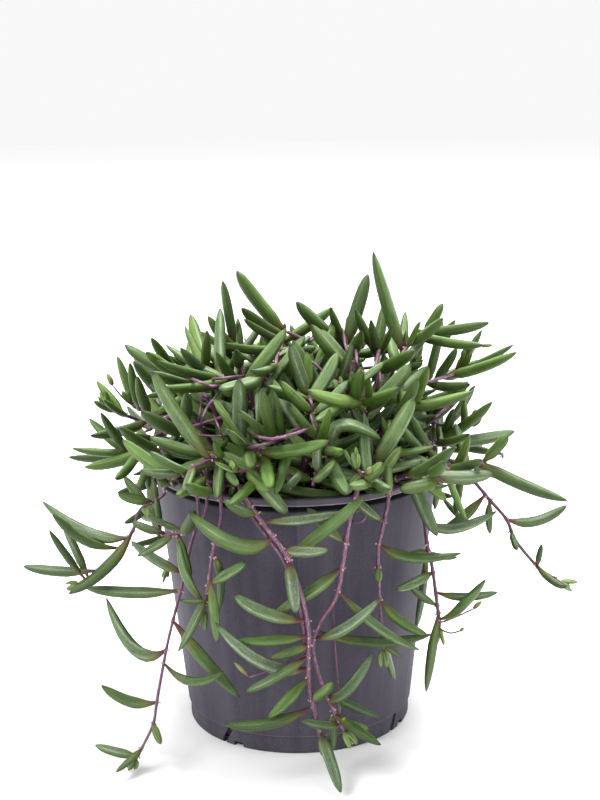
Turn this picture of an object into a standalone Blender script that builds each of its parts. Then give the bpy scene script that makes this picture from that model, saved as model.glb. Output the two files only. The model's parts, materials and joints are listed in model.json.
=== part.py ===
"""A trailing succulent with finger-shaped leaves, in a round plastic nursery pot.

Sizes are in metres and +Z is up. The origin is the middle of the pot's base. The viewer of the
front stands on the -Y side. Stems that show from the front follow routes drawn over that view.
The stems of the back and the sides grow by a rule with seeded draws.
"""

import math
import random
from dataclasses import dataclass, field
from itertools import product

import bmesh
import bpy
from mathutils import Vector

MM = 0.001

# Pot
RIM_RADIUS = 60.0 * MM
POT_HEIGHT = 112.0 * MM
LIP_HEIGHT = 2.8 * MM
LIP_OVERHANG = 1.1 * MM
WALL = 1.3 * MM
BASE_RADIUS = 47.0 * MM
FOOT_HEIGHT = 7.6 * MM
FOOT_STEP = 0.8 * MM
FLOOR = 1.6 * MM
EDGE_ROUND = 0.6 * MM
POT_SIDES = 32
SHARP_EDGE = 40.0

# Drain slots in the foot, and the small notch beside each, as angles from the front
SLOT_ANGLES = (-40.0, 56.0, 140.0, 236.0)
SLOT_WIDTH = 2.3 * MM
SLOT_BOTTOM = 1.6 * MM
NOTCH_TURN = 7.5
NOTCH_WIDTH = 4.5 * MM
NOTCH_HEIGHT = 2.2 * MM
SLOT_REACH = 5.0 * MM

# Drain holes through the floor
DRAIN_HOLES = 4
DRAIN_RADIUS = 3.2 * MM
DRAIN_RING = 30.0 * MM
DRAIN_SIDES = 8

# Heights and radii that follow from the sizes above
LIP_LOW = POT_HEIGHT - LIP_HEIGHT
WALL_TOP = RIM_RADIUS - LIP_OVERHANG
INSIDE_TOP = WALL_TOP - WALL

# Soil
GAP = 0.3 * MM
SOIL_GAP = 0.6 * MM
SOIL_EDGE_HEIGHT = 99.0 * MM
SOIL_MIDDLE_HEIGHT = 103.0 * MM
SOIL_FLAT_SHARE = 0.62
SOIL_SIDES = 24

# Stems
STEM_RADIUS = 1.05 * MM
STEM_TIP_RADIUS = 0.75 * MM
STEM_STEP = 14.0 * MM
# The finer step at which a stem is tested against the others
TEST_STEP = 1.6 * MM
ROOT_DEPTH = 6.5 * MM
ROOT_RISE = 4.0 * MM
ROOT_SPACING = 5.5 * MM
ROOT_LIMIT = 48.0 * MM
ROOT_GRID = 2.0 * MM
ROOT_DRAW = 0.62
HOLE_SIDES = 4

# Leaves
LEAF_BOW = 0.07
LEAF_MAX_LENGTH = 46.0 * MM
LEAF_SIDES = 4
SHORT_LEAF_RINGS = (0.0, 0.2, 0.7, 1.0)
LONG_LEAF_RINGS = (0.0, 0.15, 0.45, 0.8, 1.0)
LONG_LEAF = 42.0 * MM
CURVED_LEAF_BOW = 3.6 * MM
# How far before the stem's end the last leaves are rooted
ROOT_OF_LEAF = 2.5 * MM
ROOT_SPACING_ON_STEM = 2.2 * MM
# The lowest share of a stem that bears leaves, and the steps in which a drawn root is sought
LOWEST_LEAF = 0.2
NEAREST_STEPS = 120
# A drawn leaf that would be too long leans by this share of its lean, and one with a drawn
# bend passes near that pixel, so the end of its curve's handle lies further out by this share
LONG_LEAF_LEAN = 0.3
DRAWN_BEND = 0.35
# Room kept between the pieces, and between leaves of one stem beyond their roots
CLEARANCE = 0.75 * MM
OWN_CLEARANCE = -0.3 * MM
OWN_ROOT_SHARE = 0.25
FLOOR_CLEARANCE = 0.5 * MM
BALLS_PER_LEAF = 10

# The dome on which the leaf tips of the mound lie
DOME_RADIUS = 88.0 * MM
DOME_RISE = 64.0 * MM
DOME_LEVEL = 116.0 * MM
STEM_DOME = 0.70

# Leaves that grow by rule keep inside this share of the dome
DOME_LIMIT = 0.97
# Where such a leaf has no room it is turned on round the stem, a little steeper and shorter
GROWN_TRIES = 14
TURN_STEP = 0.45
TURN_LIFT = 0.04
TURN_TRIM = 0.02
# The direction that a leaf's angle round its stem is counted from
ROUND_FROM = Vector((0.3, 0.2, 1.0))
# Lengths and radii of such leaves, in mm, and the turn from one leaf to the next
FULL_LENGTHS = (26.0, 37.0)
FULL_RADII = (2.5, 3.1)
YOUNG_LENGTHS = (15.0, 22.0)
YOUNG_RADII = (1.7, 2.2)
YOUNG_LEAVES = 2
NEXT_TURN = 2.4

# The front view that the routes are drawn over
VIEW_POINT = Vector((0.0, -658.7, 296.9)) * MM
VIEW_TARGET = Vector((2.0, 0.0, 136.9)) * MM
VIEW_FOCAL = 1630.7
VIEW_ROLL = math.radians(-0.82)
VIEW_MIDDLE = (300.0, 400.0)
# The pot's bare wall in that view, left, right and top, which leaves by rule keep off
BARE_WALL = (180.0, 430.0, 496.0)

GREEN = (0.10, 0.22, 0.05, 1.0)
POT_GREY = (0.075, 0.068, 0.085, 1.0)
SOIL_BROWN = (0.045, 0.026, 0.016, 1.0)


@dataclass
class Spray:
    """A leafy stem drawn over the front view.

    Each route point is (across, down) in pixels, on the inner dome, or (across, down, towards)
    with its distance in mm in front of the pot's axis. Each leaf is (base across, base down,
    tip across, tip down, width in mm), then optionally how many mm its tip leans towards the
    viewer and a pixel that it bends by.
    """

    name: str
    route: tuple
    leaves: tuple
    fill: int = 0


MOUND_SPRAYS = (
    Spray(
        "stem_top_left",
        ((276, 372), (284, 338), (285, 324)),
        (
            (268, 330, 236.6, 270.7, 6.6),
            (284, 330, 241.6, 308, 5.4),
            (270, 345, 224, 343, 5.0),
            (283, 338, 244, 319, 3.6),
        ),
        2,
    ),
    Spray(
        "stem_back_left",
        ((246, 385, 10), (236, 355, 0), (233, 338, -4)),
        (
            (233, 340, 222.5, 280.6, 4.8, 0),
            (236, 350, 208, 316, 4.6, -6),
            (238, 356, 262, 322, 4.4, -10),
        ),
        2,
    ),
    Spray(
        "stem_left_crown",
        ((248, 388), (222, 379), (198, 377)),
        (
            (220, 376, 220, 308, 5.4),
            (204, 377, 206.8, 330.4, 4.8),
            (199, 375, 190.2, 314.6, 5.8),
            (197, 376, 184.5, 326, 4.6),
            (198, 377, 180.2, 347.8, 4.2),
            (198, 378, 156.2, 360.2, 5.2),
            (206, 377, 165.3, 344.5, 3.8),
            (226, 380, 159.5, 387, 5.4),
            (214, 379, 216, 352, 4.2),
            (240, 384, 286.5, 328.5, 6.2),
        ),
        1,
    ),
    Spray(
        "stem_left_shoulder",
        ((212, 392), (186, 372), (172, 366)),
        (
            (174, 366, 124.7, 344.8, 6.2),
            (176, 367, 151.2, 337.8, 4.4),
            (178, 370, 133.5, 357.5, 6.0, -14),
            (190, 376, 146, 352, 5.0),
            (200, 384, 150, 372, 5.2),
        ),
        1,
    ),
    Spray(
        "stem_left_bud",
        ((196, 424), (160, 416), (138, 409), (130, 402)),
        (
            (134, 404, 117.2, 356, 4.8),
            (139, 408, 129.7, 362.7, 4.2),
            (148, 412, 137, 376, 4.8),
            (152, 414, 187.7, 393.4, 4.6),
        ),
        1,
    ),
    Spray(
        "stem_far_left",
        ((188, 436), (150, 424), (124, 415), (110, 409)),
        (
            (122, 414, 96.8, 381, 4.2),
            (111, 409, 94, 401, 2.8),
            (144, 422, 89.9, 435.7, 5.4),
            (128, 417, 104, 400, 3.0),
            (184, 434, 141, 411, 6.0),
        ),
        1,
    ),
    Spray(
        "stem_left_edge",
        ((196, 450), (158, 452), (122, 452)),
        (
            (124, 452, 89, 418.3, 4.2),
            (123, 451, 100.6, 412.5, 4.0),
            (124, 453, 72, 448.1, 4.2),
            (160, 451, 119.7, 427.4, 5.0),
            (130, 453, 115.6, 478.8, 4.8),
            (176, 451, 142, 471, 4.8),
        ),
        1,
    ),
    Spray(
        "stem_left_front",
        ((224, 456, 50), (210, 460, 60), (190, 469, 66), (170, 480, 67)),
        (
            (172, 478, 122.2, 439, 5.2, -4),
            (172, 479, 140, 470, 4.0, 6),
            (178, 474, 150, 452, 4.4, 4),
            (214, 448, 149.5, 437.3, 5.2, 4),
            (207, 456, 152, 371, 5.8, 2),
            (216, 458, 217, 499, 4.6, 8),
            (204, 458, 165, 473, 4.8, 10),
            (192, 466, 184.4, 492, 3.8, 8),
        ),
    ),
    Spray(
        "stem_middle_left",
        ((262, 452), (246, 447), (236, 440)),
        (
            (236, 440, 239, 379, 7.2),
            (240, 444, 228.3, 430, 3.4),
            (246, 447, 213, 398, 4.8),
            (260, 452, 329, 441, 5.8),
            (256, 451, 270, 488, 5.0),
        ),
        1,
    ),
    Spray(
        "stem_middle_tuft",
        ((302, 432), (278, 438), (256, 437)),
        (
            (256, 437, 258.2, 392, 5.0),
            (272, 437, 260.7, 388.4, 4.8),
            (256, 437, 239, 410, 3.4),
            (273, 438, 277.2, 409, 3.4),
            (290, 435, 271, 487, 5.8),
        ),
        1,
    ),
    Spray(
        "stem_crown",
        ((312, 412), (308, 398), (306, 382)),
        (
            (306, 396, 290.5, 343.6, 5.6),
            (307, 390, 307, 352, 4.2),
            (312, 410, 280.5, 381, 5.4),
            (308, 398, 268, 386, 5.6),
        ),
        1,
    ),
    Spray(
        "stem_front_tuft",
        ((330, 452), (320, 442), (318, 432)),
        (
            (318, 434, 290.5, 404.2, 4.6),
            (319, 436, 329.5, 408.8, 3.8),
            (320, 438, 342, 451, 4.4),
            (318, 433, 381, 439, 5.6, 2, 334, 415),
            (328, 450, 347, 494, 5.6),
        ),
        1,
    ),
    Spray(
        "stem_crown_right",
        ((370, 402), (352, 402), (343, 398)),
        (
            (344, 399, 316, 421, 5.2),
            (345, 399, 362, 367, 5.2),
            (352, 402, 399, 388, 6.0),
            (345, 399, 307, 390.5, 6.0),
            (364, 402, 369, 377, 3.0),
            (368, 402, 411, 364, 6.4),
        ),
        1,
    ),
    Spray(
        "stem_top_middle",
        ((350, 378), (350, 360), (345, 344)),
        (
            (345, 346, 367.9, 274, 6.2),
            (345, 345, 330.4, 307, 4.4),
            (349, 372, 311, 324.5, 6.2),
            (350, 368, 321.4, 329.3, 6.2),
            (351, 356, 362, 331, 5.2),
            (345, 344, 296.3, 301.4, 6.6),
        ),
        1,
    ),
    Spray(
        "stem_top_right",
        ((378, 386), (376, 368), (377, 350)),
        (
            (377, 352, 355.4, 309.6, 4.8),
            (377, 350, 386.5, 299, 6.0),
            (377, 352, 392, 326, 3.4),
            (376, 372, 413.8, 350.7, 6.0),
            (377, 354, 371, 319.5, 4.8),
        ),
        1,
    ),
    Spray(
        "stem_peak",
        ((398, 392, 20), (402, 366, 8), (404, 346, 2)),
        (
            (403, 348, 373.2, 251.6, 7.0, 0),
            (404, 348, 405.4, 311.4, 4.4, -6),
            (402, 360, 428.6, 330, 4.6, 0),
            (402, 374, 389, 334, 6.4, -12),
        ),
        2,
    ),
    Spray(
        "stem_right_crown",
        ((398, 374, 10), (410, 350, 4), (424, 338, 0), (440, 336, -2)),
        (
            (422, 339, 442.9, 303.4, 4.6, 0),
            (438, 336, 455.4, 320, 2.8, 0),
            (438, 337, 489.3, 322.5, 5.4, -4),
            (432, 337, 484, 345, 5.2, 8),
            (412, 347, 443, 318, 4.6, 10),
            (408, 352, 419, 322, 2.6, -4),
        ),
        1,
    ),
    Spray(
        "stem_right_shoulder",
        ((412, 388), (428, 382), (446, 376), (462, 367)),
        (
            (460, 368, 482, 330, 4.2),
            (462, 367, 513.4, 344.5, 3.8),
            (456, 370, 517, 352, 5.4),
            (446, 376, 482, 359.5, 5.2),
            (447, 374, 457, 348, 4.0),
            (430, 381, 442.8, 321.5, 5.0),
            (424, 384, 470, 384, 4.6),
        ),
    ),
    Spray(
        "stem_right_tall",
        ((392, 424), (402, 412), (412, 404)),
        (
            (411, 405, 428.6, 366.8, 4.8),
            (411, 407, 473, 391, 5.6),
            (396, 420, 418, 378, 4.6),
            (402, 412, 399, 376, 3.4),
        ),
        1,
    ),
    Spray(
        "stem_right_front",
        ((374, 466), (378, 454), (388, 446)),
        (
            (375, 462, 414, 398, 6.4),
        ),
        1,
    ),
    Spray(
        "stem_right_side",
        ((410, 452), (428, 446), (443, 440)),
        (
            (442, 440, 453.6, 408.8, 4.4),
            (443, 439, 438, 425, 3.0),
            (443, 440, 492.5, 401.6, 4.8),
            (440, 441, 515, 431, 6.0),
            (428, 446, 410.7, 415, 5.2),
            (418, 449, 399, 421.5, 5.4),
            (444, 440, 469.6, 433.8, 3.8),
        ),
    ),
    Spray(
        "stem_right_edge",
        ((436, 470, 44), (462, 462, 38), (486, 466, 34), (494, 470, 32)),
        (
            (490, 470, 508, 435.5, 4.6, 4),
            (486, 468, 568, 500.7, 6.2, 6),
            (470, 462, 516, 475.7, 5.0, -8),
            (450, 466, 482, 459.4, 4.6, 14),
            (456, 464, 469, 436, 4.2, 6),
        ),
    ),
    Spray(
        "stem_right_rim",
        ((404, 474, 58), (424, 478, 62), (446, 485, 60)),
        (
            (408, 475, 454.5, 447, 5.6, 8),
            (445, 485, 399.5, 489.5, 5.2, 2),
            (446, 485, 493, 473.5, 5.6, -6),
            (430, 480, 445, 462, 4.4, 8),
        ),
    ),
    Spray(
        "stem_front_rim",
        ((380, 478, 52), (368, 480, 66), (352, 474, 72)),
        (
            (354, 475, 346, 495, 5.2, 4),
            (364, 479, 383, 463, 5.0, 2),
            (357, 477, 364, 424.8, 4.6, -8),
            (353, 474, 302, 467, 5.2, 4),
            (366, 481, 390, 489, 4.2, 3),
        ),
    ),
    Spray(
        "stem_front_low",
        ((268, 478, 52), (256, 476, 64), (243, 468, 70)),
        (
            (246, 470, 270, 491, 5.2, 3),
            (243, 468, 288, 514, 5.6, 10),
            (243, 468, 221, 453, 4.8, 2),
            (242, 471, 216.5, 513.5, 5.0, 6),
            (262, 479, 344, 493.5, 5.0, 4, 300, 494),
            (262, 477, 286, 456, 4.8, 4),
        ),
    ),
)

TRAILING_SPRAYS = (
    Spray(
        "stem_trail_left",
        (
            (199, 514, 51),
            (195, 532, 49),
            (190, 547, 47),
            (187, 562, 46),
            (180.6, 590, 46),
            (166, 649, 52),
            (157, 702, 58),
            (152, 727, 60),
            (136, 760, 62),
        ),
        (
            (180, 590, 86, 588, 5.2, -14),
            (184, 574, 131, 541, 4.4, -8),
            (163, 651, 106, 597, 5.4, -6, 134, 664),
            (175, 622, 240, 698, 5.2, 12),
            (167, 664, 224, 671, 3.8, 6, 190, 690),
            (157, 703, 101, 685, 4.8, -2, 130, 706),
            (153, 724, 161, 744, 3.2, 4),
            (137, 759, 95, 745, 4.0, -6),
            (136, 760, 116, 772, 3.0, 10),
        ),
    ),
    Spray(
        "stem_trail_near_left",
        (
            (206, 511, 57),
            (198, 526, 56),
            (186, 531, 53),
            (172, 534, 48),
            (161, 531, 45),
            (153, 519, 43),
        ),
        (
            (175, 536, 137, 556, 4.2, 4),
            (177, 537, 191, 577, 3.8, 8),
            (165, 534, 132, 521.5, 4.4, -2),
            (160, 529, 156, 496, 3.8, 4),
            (172, 533, 194, 511.5, 6.0, 2),
            (157, 526, 148, 515, 2.8, 2),
        ),
    ),
    Spray(
        "stem_trail_far_left",
        ((164, 494, 38), (140, 510, 36), (130, 535, 35), (95, 572, 30), (78, 584, 28)),
        (
            (152, 500, 118, 493.7, 5.0, 4),
            (128, 538, 42, 501, 5.4, -8, 88, 538),
            (118, 549, 52, 514, 4.8, 4, 84, 544),
            (132, 530, 68, 594, 5.6, 14, 110, 570),
            (96, 571, 23, 566, 5.0, -4),
            (84, 580, 49, 530, 3.6, 6),
            (80, 583, 62, 520, 4.0, -8),
            (148, 505, 124, 476, 4.0, -4),
        ),
    ),
    Spray(
        "stem_trail_inner_left",
        ((221, 519, 59), (213, 552, 61), (208, 588, 61), (205, 611, 61)),
        (
            (205, 606, 179, 540, 4.0, 2, 184, 578),
            (204, 611, 180, 600, 3.0, 4),
            (205, 611, 178, 652, 4.0, 8),
            (209, 584, 246, 562, 4.4, 6),
            (207, 590, 217, 643, 4.2, 8),
            (214, 545, 240, 538, 3.8, 4),
        ),
    ),
    Spray(
        "stem_trail_front",
        (
            (241, 490, 66),
            (262, 522, 70),
            (285, 552, 72),
            (293, 570, 72),
            (302, 598, 71),
            (309, 632, 70),
            (308, 660, 69),
            (310, 692, 69),
            (315, 713, 69.5),
            (322, 738, 70),
        ),
        (
            (322, 738, 341, 793, 4.8, 18),
            (272, 540, 188, 511, 6.4, 4, 240, 556),
            (258, 516, 224, 500, 4.8, 4),
            (290, 560, 296, 614, 5.0, 6),
            (262, 521, 346, 512, 4.6, 2),
            (290, 556, 364, 496, 5.0, 5),
            (292, 562, 329, 550, 4.8, 4),
            (304, 668, 215, 622, 5.4, 8, 262, 672),
            (312, 706, 224, 724, 5.0, 8, 268, 728),
            (307, 676, 268, 718, 5.0, 6, 288, 700),
            (304, 622, 234, 594, 5.6, 5, 264, 618),
            (308, 634, 236, 640, 4.6, 2),
            (308, 645, 270, 658, 4.0, 6),
            (308, 655, 245, 692, 4.0, 10, 276, 678),
            (311, 700, 333, 682, 4.4, 8),
        ),
    ),
    Spray(
        "stem_trail_front_right",
        (
            (357, 488, 66),
            (350, 518, 68),
            (343, 562, 68),
            (339, 586, 67),
            (333, 604, 66),
            (322, 620, 65.5),
            (314, 638, 65),
            (314, 655, 64.5),
            (320, 680, 65),
            (331, 706, 67),
            (344, 732, 70),
        ),
        (
            (345, 544, 307, 508, 5.2, 9),
            (355, 498, 381, 520, 3.6, 6),
            (340, 566, 274, 613, 5.2, -2),
            (340, 592, 420, 650, 4.6, 1, 378, 632),
            (314, 637, 380, 598, 5.0, 6, 344, 634),
            (314, 641, 432, 634, 4.6, 0, 372, 648),
            (328, 698, 372, 654, 4.6, 4, 344, 698),
            (329, 700, 380, 717, 4.0, 4),
            (340, 731, 301, 720, 3.8, 6),
            (344, 732, 369, 729, 3.6, 6),
            (345, 733, 381, 745, 4.4, 10),
            (344, 733, 332, 753, 3.6, 10),
        ),
    ),
    Spray(
        "stem_trail_right",
        ((388, 500, 52), (382, 530, 55), (378, 557, 57), (380, 610, 57), (383, 650, 57)),
        (
            (382, 545, 462, 553, 4.6, 0, 408, 562),
            (379, 566, 378, 582, 3.0, 6),
            (380, 600, 427, 634, 4.2, 4, 400, 624),
            (383, 650, 402, 657, 3.0, 4),
            (383, 650, 395, 680, 3.4, 6),
            (384, 520, 352, 500, 4.0, 4),
        ),
    ),
    Spray(
        "stem_trail_side",
        ((421, 494, 40), (424, 517, 40), (428, 547, 40), (433, 572, 40), (439, 619, 41), (440, 628, 41)),
        (
            (425, 520, 497, 511, 4.8, -2, 450, 534),
            (438, 592, 498, 592, 3.8, 2, 464, 600),
            (436, 606, 409, 585, 3.4, 4),
            (439, 620, 486, 579, 4.4, 2, 460, 612),
            (439, 625, 426, 692, 4.4, 6),
            (432, 572, 396, 590, 4.0, 4),
            (429, 550, 404, 556, 3.6, 4),
        ),
    ),
    Spray(
        "stem_trail_far_right",
        ((470, 478, 26), (490, 500, 26), (506, 519, 26), (516, 541, 25), (537, 566, 24), (560, 582, 22)),
        (
            (507, 519, 567, 505, 4.8, -4, 536, 526),
            (512, 532, 517, 550, 3.0, 6),
            (489, 498, 490, 534, 3.6, 6),
            (538, 566, 542, 544, 3.0, 4),
            (484, 493, 444, 528, 4.4, 8, 458, 524),
            (558, 581, 567, 586, 2.4, 2),
        ),
    ),
)

# Stems that the front view doesn't show: a fan over the back and sides of the mound, then
# stems that trail over the rim, each with its angle from the front, counted to the right
LOW_FAN = (14, 84, 112, 139, 166, 194, 221, 248, 276, 346)
HIGH_FAN = (20, 100, 142, 180, 218, 260)
TRAIL_FAN = (108, 134, 157, 180, 203, 226, 252)
SHORT_TRAILS = (108, 252)
# Where those stems lead, as the share of the dome's arc height and of its size
LOW_WAY = ((0.36, 0.5), (0.16, 0.64), (0.05, 0.76))
HIGH_WAY = ((0.85, 0.4), (0.66, 0.6), (0.48, 0.74))
# Shares of a stem at which its low, flat leaves start
LOW_SHARES = (0.34,)
LOW_LEAN = 0.9
LOW_RISE = 0.12
LOW_FORWARD = 0.1
# The share at which the leaves of each kind of stem start, and how far they turn up and forward
FAN_FILL = (0.3, 0.45, 0.55)
HANG_FILL = (0.36, 0.1, 0.55)
DRAWN_FILL = (0.4, 0.6, 0.55)
SHORT_DROPS = (26.0, 32.0)
LONG_DROPS = (44.0, 86.0)
# A hanging stem's points: mm outside the rim, share of its drop and share of its sway
HANG_WAY = ((9.0, 0.2, 0.3), (8.0, 0.7, 1.0), (11.0, 1.0, 1.3))
HANG_SWAY = 9.0
FAN_TILT = 5.0
OVER_RIM = Vector((2.5, 0.0, 5.0)) * MM
FAN_LEAVES = 6
TRAIL_LEAVES = 5
# Tries at nudging a stem clear of the others, and how far the nudges reach
STEM_TRIES = 160
NUDGE = 1.5 * MM
NUDGE_GROWTH = 0.06 * MM
SEED = 20


def view_axes():
    """The front view's forward, right and up directions, turned by its roll."""
    forward = (VIEW_TARGET - VIEW_POINT).normalized()
    right = forward.cross(Vector((0.0, 0.0, 1.0))).normalized()
    up = right.cross(forward)
    cosine = math.cos(VIEW_ROLL)
    sine = math.sin(VIEW_ROLL)
    return forward, right * cosine + up * sine, up * cosine - right * sine


VIEW_FORWARD, VIEW_RIGHT, VIEW_UP = view_axes()


def view_ray(across, down):
    """The direction from the view point through a pixel."""
    return (
        VIEW_FORWARD * VIEW_FOCAL
        + VIEW_RIGHT * (across - VIEW_MIDDLE[0])
        - VIEW_UP * (down - VIEW_MIDDLE[1])
    )


def to_view(point):
    """The pixel at which a point shows."""
    offset = point - VIEW_POINT
    scale = VIEW_FOCAL / offset.dot(VIEW_FORWARD)
    across = VIEW_MIDDLE[0] + offset.dot(VIEW_RIGHT) * scale
    return across, VIEW_MIDDLE[1] - offset.dot(VIEW_UP) * scale


def over_wall(point):
    """Whether a point shows in front of the pot's bare wall."""
    across, down = to_view(point)
    return point.y < 0.0 and BARE_WALL[0] < across < BARE_WALL[1] and down > BARE_WALL[2]


def view_point(across, down, towards):
    """The point that shows at a pixel, the given length in front of the pot's axis."""
    ray = view_ray(across, down)
    return VIEW_POINT + ray * ((-towards - VIEW_POINT.y) / ray.y)


def dome_point(across, down, share):
    """The near point of the mound's dome, scaled by share, that shows at a pixel."""
    ray = view_ray(across, down)
    radii = (DOME_RADIUS * share, DOME_RADIUS * share, DOME_RISE * share)
    start = VIEW_POINT - Vector((0.0, 0.0, DOME_LEVEL))
    eye = Vector([start[i] / radii[i] for i in range(3)])
    run = Vector([ray[i] / radii[i] for i in range(3)])
    square = run.dot(run)
    middle = eye.dot(run)
    inside = middle * middle - square * (eye.dot(eye) - 1.0)
    reach = (-middle - math.sqrt(max(inside, 0.0))) / square
    return VIEW_POINT + ray * reach


def outward(angle):
    """The level direction at an angle from the front, counted to the right."""
    turn = math.radians(angle)
    return Vector((math.sin(turn), -math.cos(turn), 0.0))


def on_dome(angle, height_share, share):
    """A point of the dome at an angle from the front and a share of its quarter arc's height."""
    lift = math.radians(90.0 * height_share)
    point = outward(angle) * (DOME_RADIUS * share * math.cos(lift))
    point.z = DOME_LEVEL + DOME_RISE * share * math.sin(lift)
    return point


def beyond_dome(point, share):
    """Whether a point lies outside the upper dome, scaled by share."""
    lift = (point.z - DOME_LEVEL) / (DOME_RISE * share)
    if lift < 0.0:
        return False
    around = math.hypot(point.x, point.y) / (DOME_RADIUS * share)
    return around * around + lift * lift > 1.0


def outer_radius(height):
    """The pot's outer radius below its lip."""
    share = (height - FOOT_HEIGHT) / (LIP_LOW - FOOT_HEIGHT)
    low = BASE_RADIUS + FOOT_STEP
    return low + (WALL_TOP - low) * min(max(share, 0.0), 1.0)


def inner_radius(height):
    """The pot's inner radius above its floor."""
    share = (height - FLOOR) / (LIP_LOW - FLOOR)
    low = BASE_RADIUS - WALL
    return low + (INSIDE_TOP - low) * min(max(share, 0.0), 1.0)


def clear_of_pot(centre, radius):
    """Whether a ball is clear of the pot's wall and rim, of the soil and of the ground."""
    around = math.hypot(centre.x, centre.y)
    reach = radius + CLEARANCE
    if centre.z < radius + FLOOR_CLEARANCE:
        return False
    if centre.z >= POT_HEIGHT:
        over_rim = INSIDE_TOP - reach < around < RIM_RADIUS + reach
        return centre.z > POT_HEIGHT + reach or not over_rim
    if around > outer_radius(centre.z) + LIP_OVERHANG + reach:
        return True
    return around < inner_radius(centre.z) - reach and centre.z > SOIL_MIDDLE_HEIGHT + reach


def root_places():
    """The places where a stem may stand in the soil, on a square grid within a circle."""
    places = []
    count = int(ROOT_LIMIT / ROOT_GRID)
    for i in range(-count, count + 1):
        for j in range(-count, count + 1):
            place = Vector((i * ROOT_GRID, j * ROOT_GRID, 0.0))
            if place.length < ROOT_LIMIT:
                places.append(place)
    return places


ROOT_PLACES = root_places()


def smooth_route(points, step):
    """A Catmull-Rom curve through the points, with about one point for each step."""
    ends = [points[0] * 2.0 - points[1], *points, points[-1] * 2.0 - points[-2]]
    route = [points[0].copy()]
    for i in range(1, len(ends) - 2):
        before, start, end, after = ends[i - 1 : i + 3]
        pieces = max(1, round((end - start).length / step))
        for k in range(1, pieces + 1):
            t = k / pieces
            pull = (end - before) * t + (before * 2.0 - start * 5.0 + end * 4.0 - after) * t * t
            curl = (start * 3.0 - before - end * 3.0 + after) * t * t * t
            route.append(start + (pull + curl) * 0.5)
    return route


def fullness(share):
    """A leaf's thickness along its length: a narrow foot, a full middle and a pointed tip."""
    return max(0.26 * (1.0 - share), math.sin(math.pi * share**0.85) ** 0.62)


@dataclass
class Leaf:
    """One finger-shaped leaf: a quadratic curve from its base to its tip."""

    foot: Vector
    bend: Vector
    tip: Vector
    radius: float

    @property
    def base(self):
        """The leaf's end inside its stem, a little behind the stem's middle."""
        return self.foot - (self.bend - self.foot).normalized() * (STEM_TIP_RADIUS * 0.45)

    def point(self, share):
        """The point at a share of the leaf's curve."""
        rest = 1.0 - share
        return self.base * (rest * rest) + self.bend * (2.0 * rest * share) + self.tip * (share * share)

    def slope(self, share):
        """The direction of the leaf's curve at a share of it."""
        first = (self.bend - self.base) * (1.0 - share)
        return (first + (self.tip - self.bend) * share).normalized()

    def balls(self):
        """Balls that fill the leaf, as (share, centre, radius)."""
        shares = [(k + 1) / BALLS_PER_LEAF for k in range(BALLS_PER_LEAF)]
        return [(s, self.point(s), self.radius * fullness(s) if s < 1.0 else 0.0) for s in shares]


@dataclass
class Stem:
    """One leafy stem, from its foot in the soil to its tip."""

    name: str
    route: list
    leaves: list = field(default_factory=list)

    def radius(self, share):
        """The stem's radius at a share of its length."""
        return STEM_RADIUS + (STEM_TIP_RADIUS - STEM_RADIUS) * share

    def at(self, share):
        """The point and the direction at a share of the stem's points, short of its end."""
        pieces = len(self.route) - 1
        short = ROOT_OF_LEAF / (self.route[-1] - self.route[-2]).length
        place = min(share * pieces, pieces - short)
        first = min(int(place), len(self.route) - 2)
        run = self.route[first + 1] - self.route[first]
        return self.route[first] + run * (place - first), run.normalized()

    def free_share(self, share):
        """A share at or before the given one where no other leaf is rooted."""
        step = ROOT_SPACING_ON_STEM * 0.5 / (STEM_STEP * (len(self.route) - 1))
        while share > LOWEST_LEAF:
            place = self.at(share)[0]
            if all((place - leaf.foot).length > ROOT_SPACING_ON_STEM for leaf in self.leaves):
                return share
            share -= step
        return share

    def nearest(self, across, down):
        """The share of the stem that shows nearest to a pixel, above the soil."""
        best = (float("inf"), 1.0)
        for k in range(int(LOWEST_LEAF * NEAREST_STEPS), NEAREST_STEPS + 1):
            share = k / NEAREST_STEPS
            shown = to_view(self.at(share)[0])
            away = math.hypot(shown[0] - across, shown[1] - down)
            best = min(best, (away, share))
        return best[1]


class Space:
    """Balls that stand for what has grown so far, kept in a grid of cells."""

    CELL = 9.0 * MM
    STEPS = [(i, j, k) for i in (-1, 0, 1) for j in (-1, 0, 1) for k in (-1, 0, 1)]

    def __init__(self):
        self.cells = {}

    def key(self, point):
        """The cell that holds a point."""
        return tuple(math.floor(value / self.CELL) for value in point)

    def add(self, owner, part, centre, radius):
        """Keeps a ball for one part, such as a leaf, of its owner, a stem."""
        self.cells.setdefault(self.key(centre), []).append((owner, part, centre, radius))

    def room(self, owner, part, centre, radius, own_clearance):
        """Whether a ball is clear of the others.

        Balls of the same part never count. Those of the same owner count only with the
        smaller clearance, and not at all where that is None.
        """
        home = self.key(centre)
        for step in self.STEPS:
            for other in self.cells.get(tuple(home[i] + step[i] for i in range(3)), ()):
                margin = CLEARANCE
                if other[0] == owner:
                    if own_clearance is None or other[1] == part:
                        continue
                    margin = own_clearance
                if (other[2] - centre).length < other[3] + radius + margin:
                    return False
        return True


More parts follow.
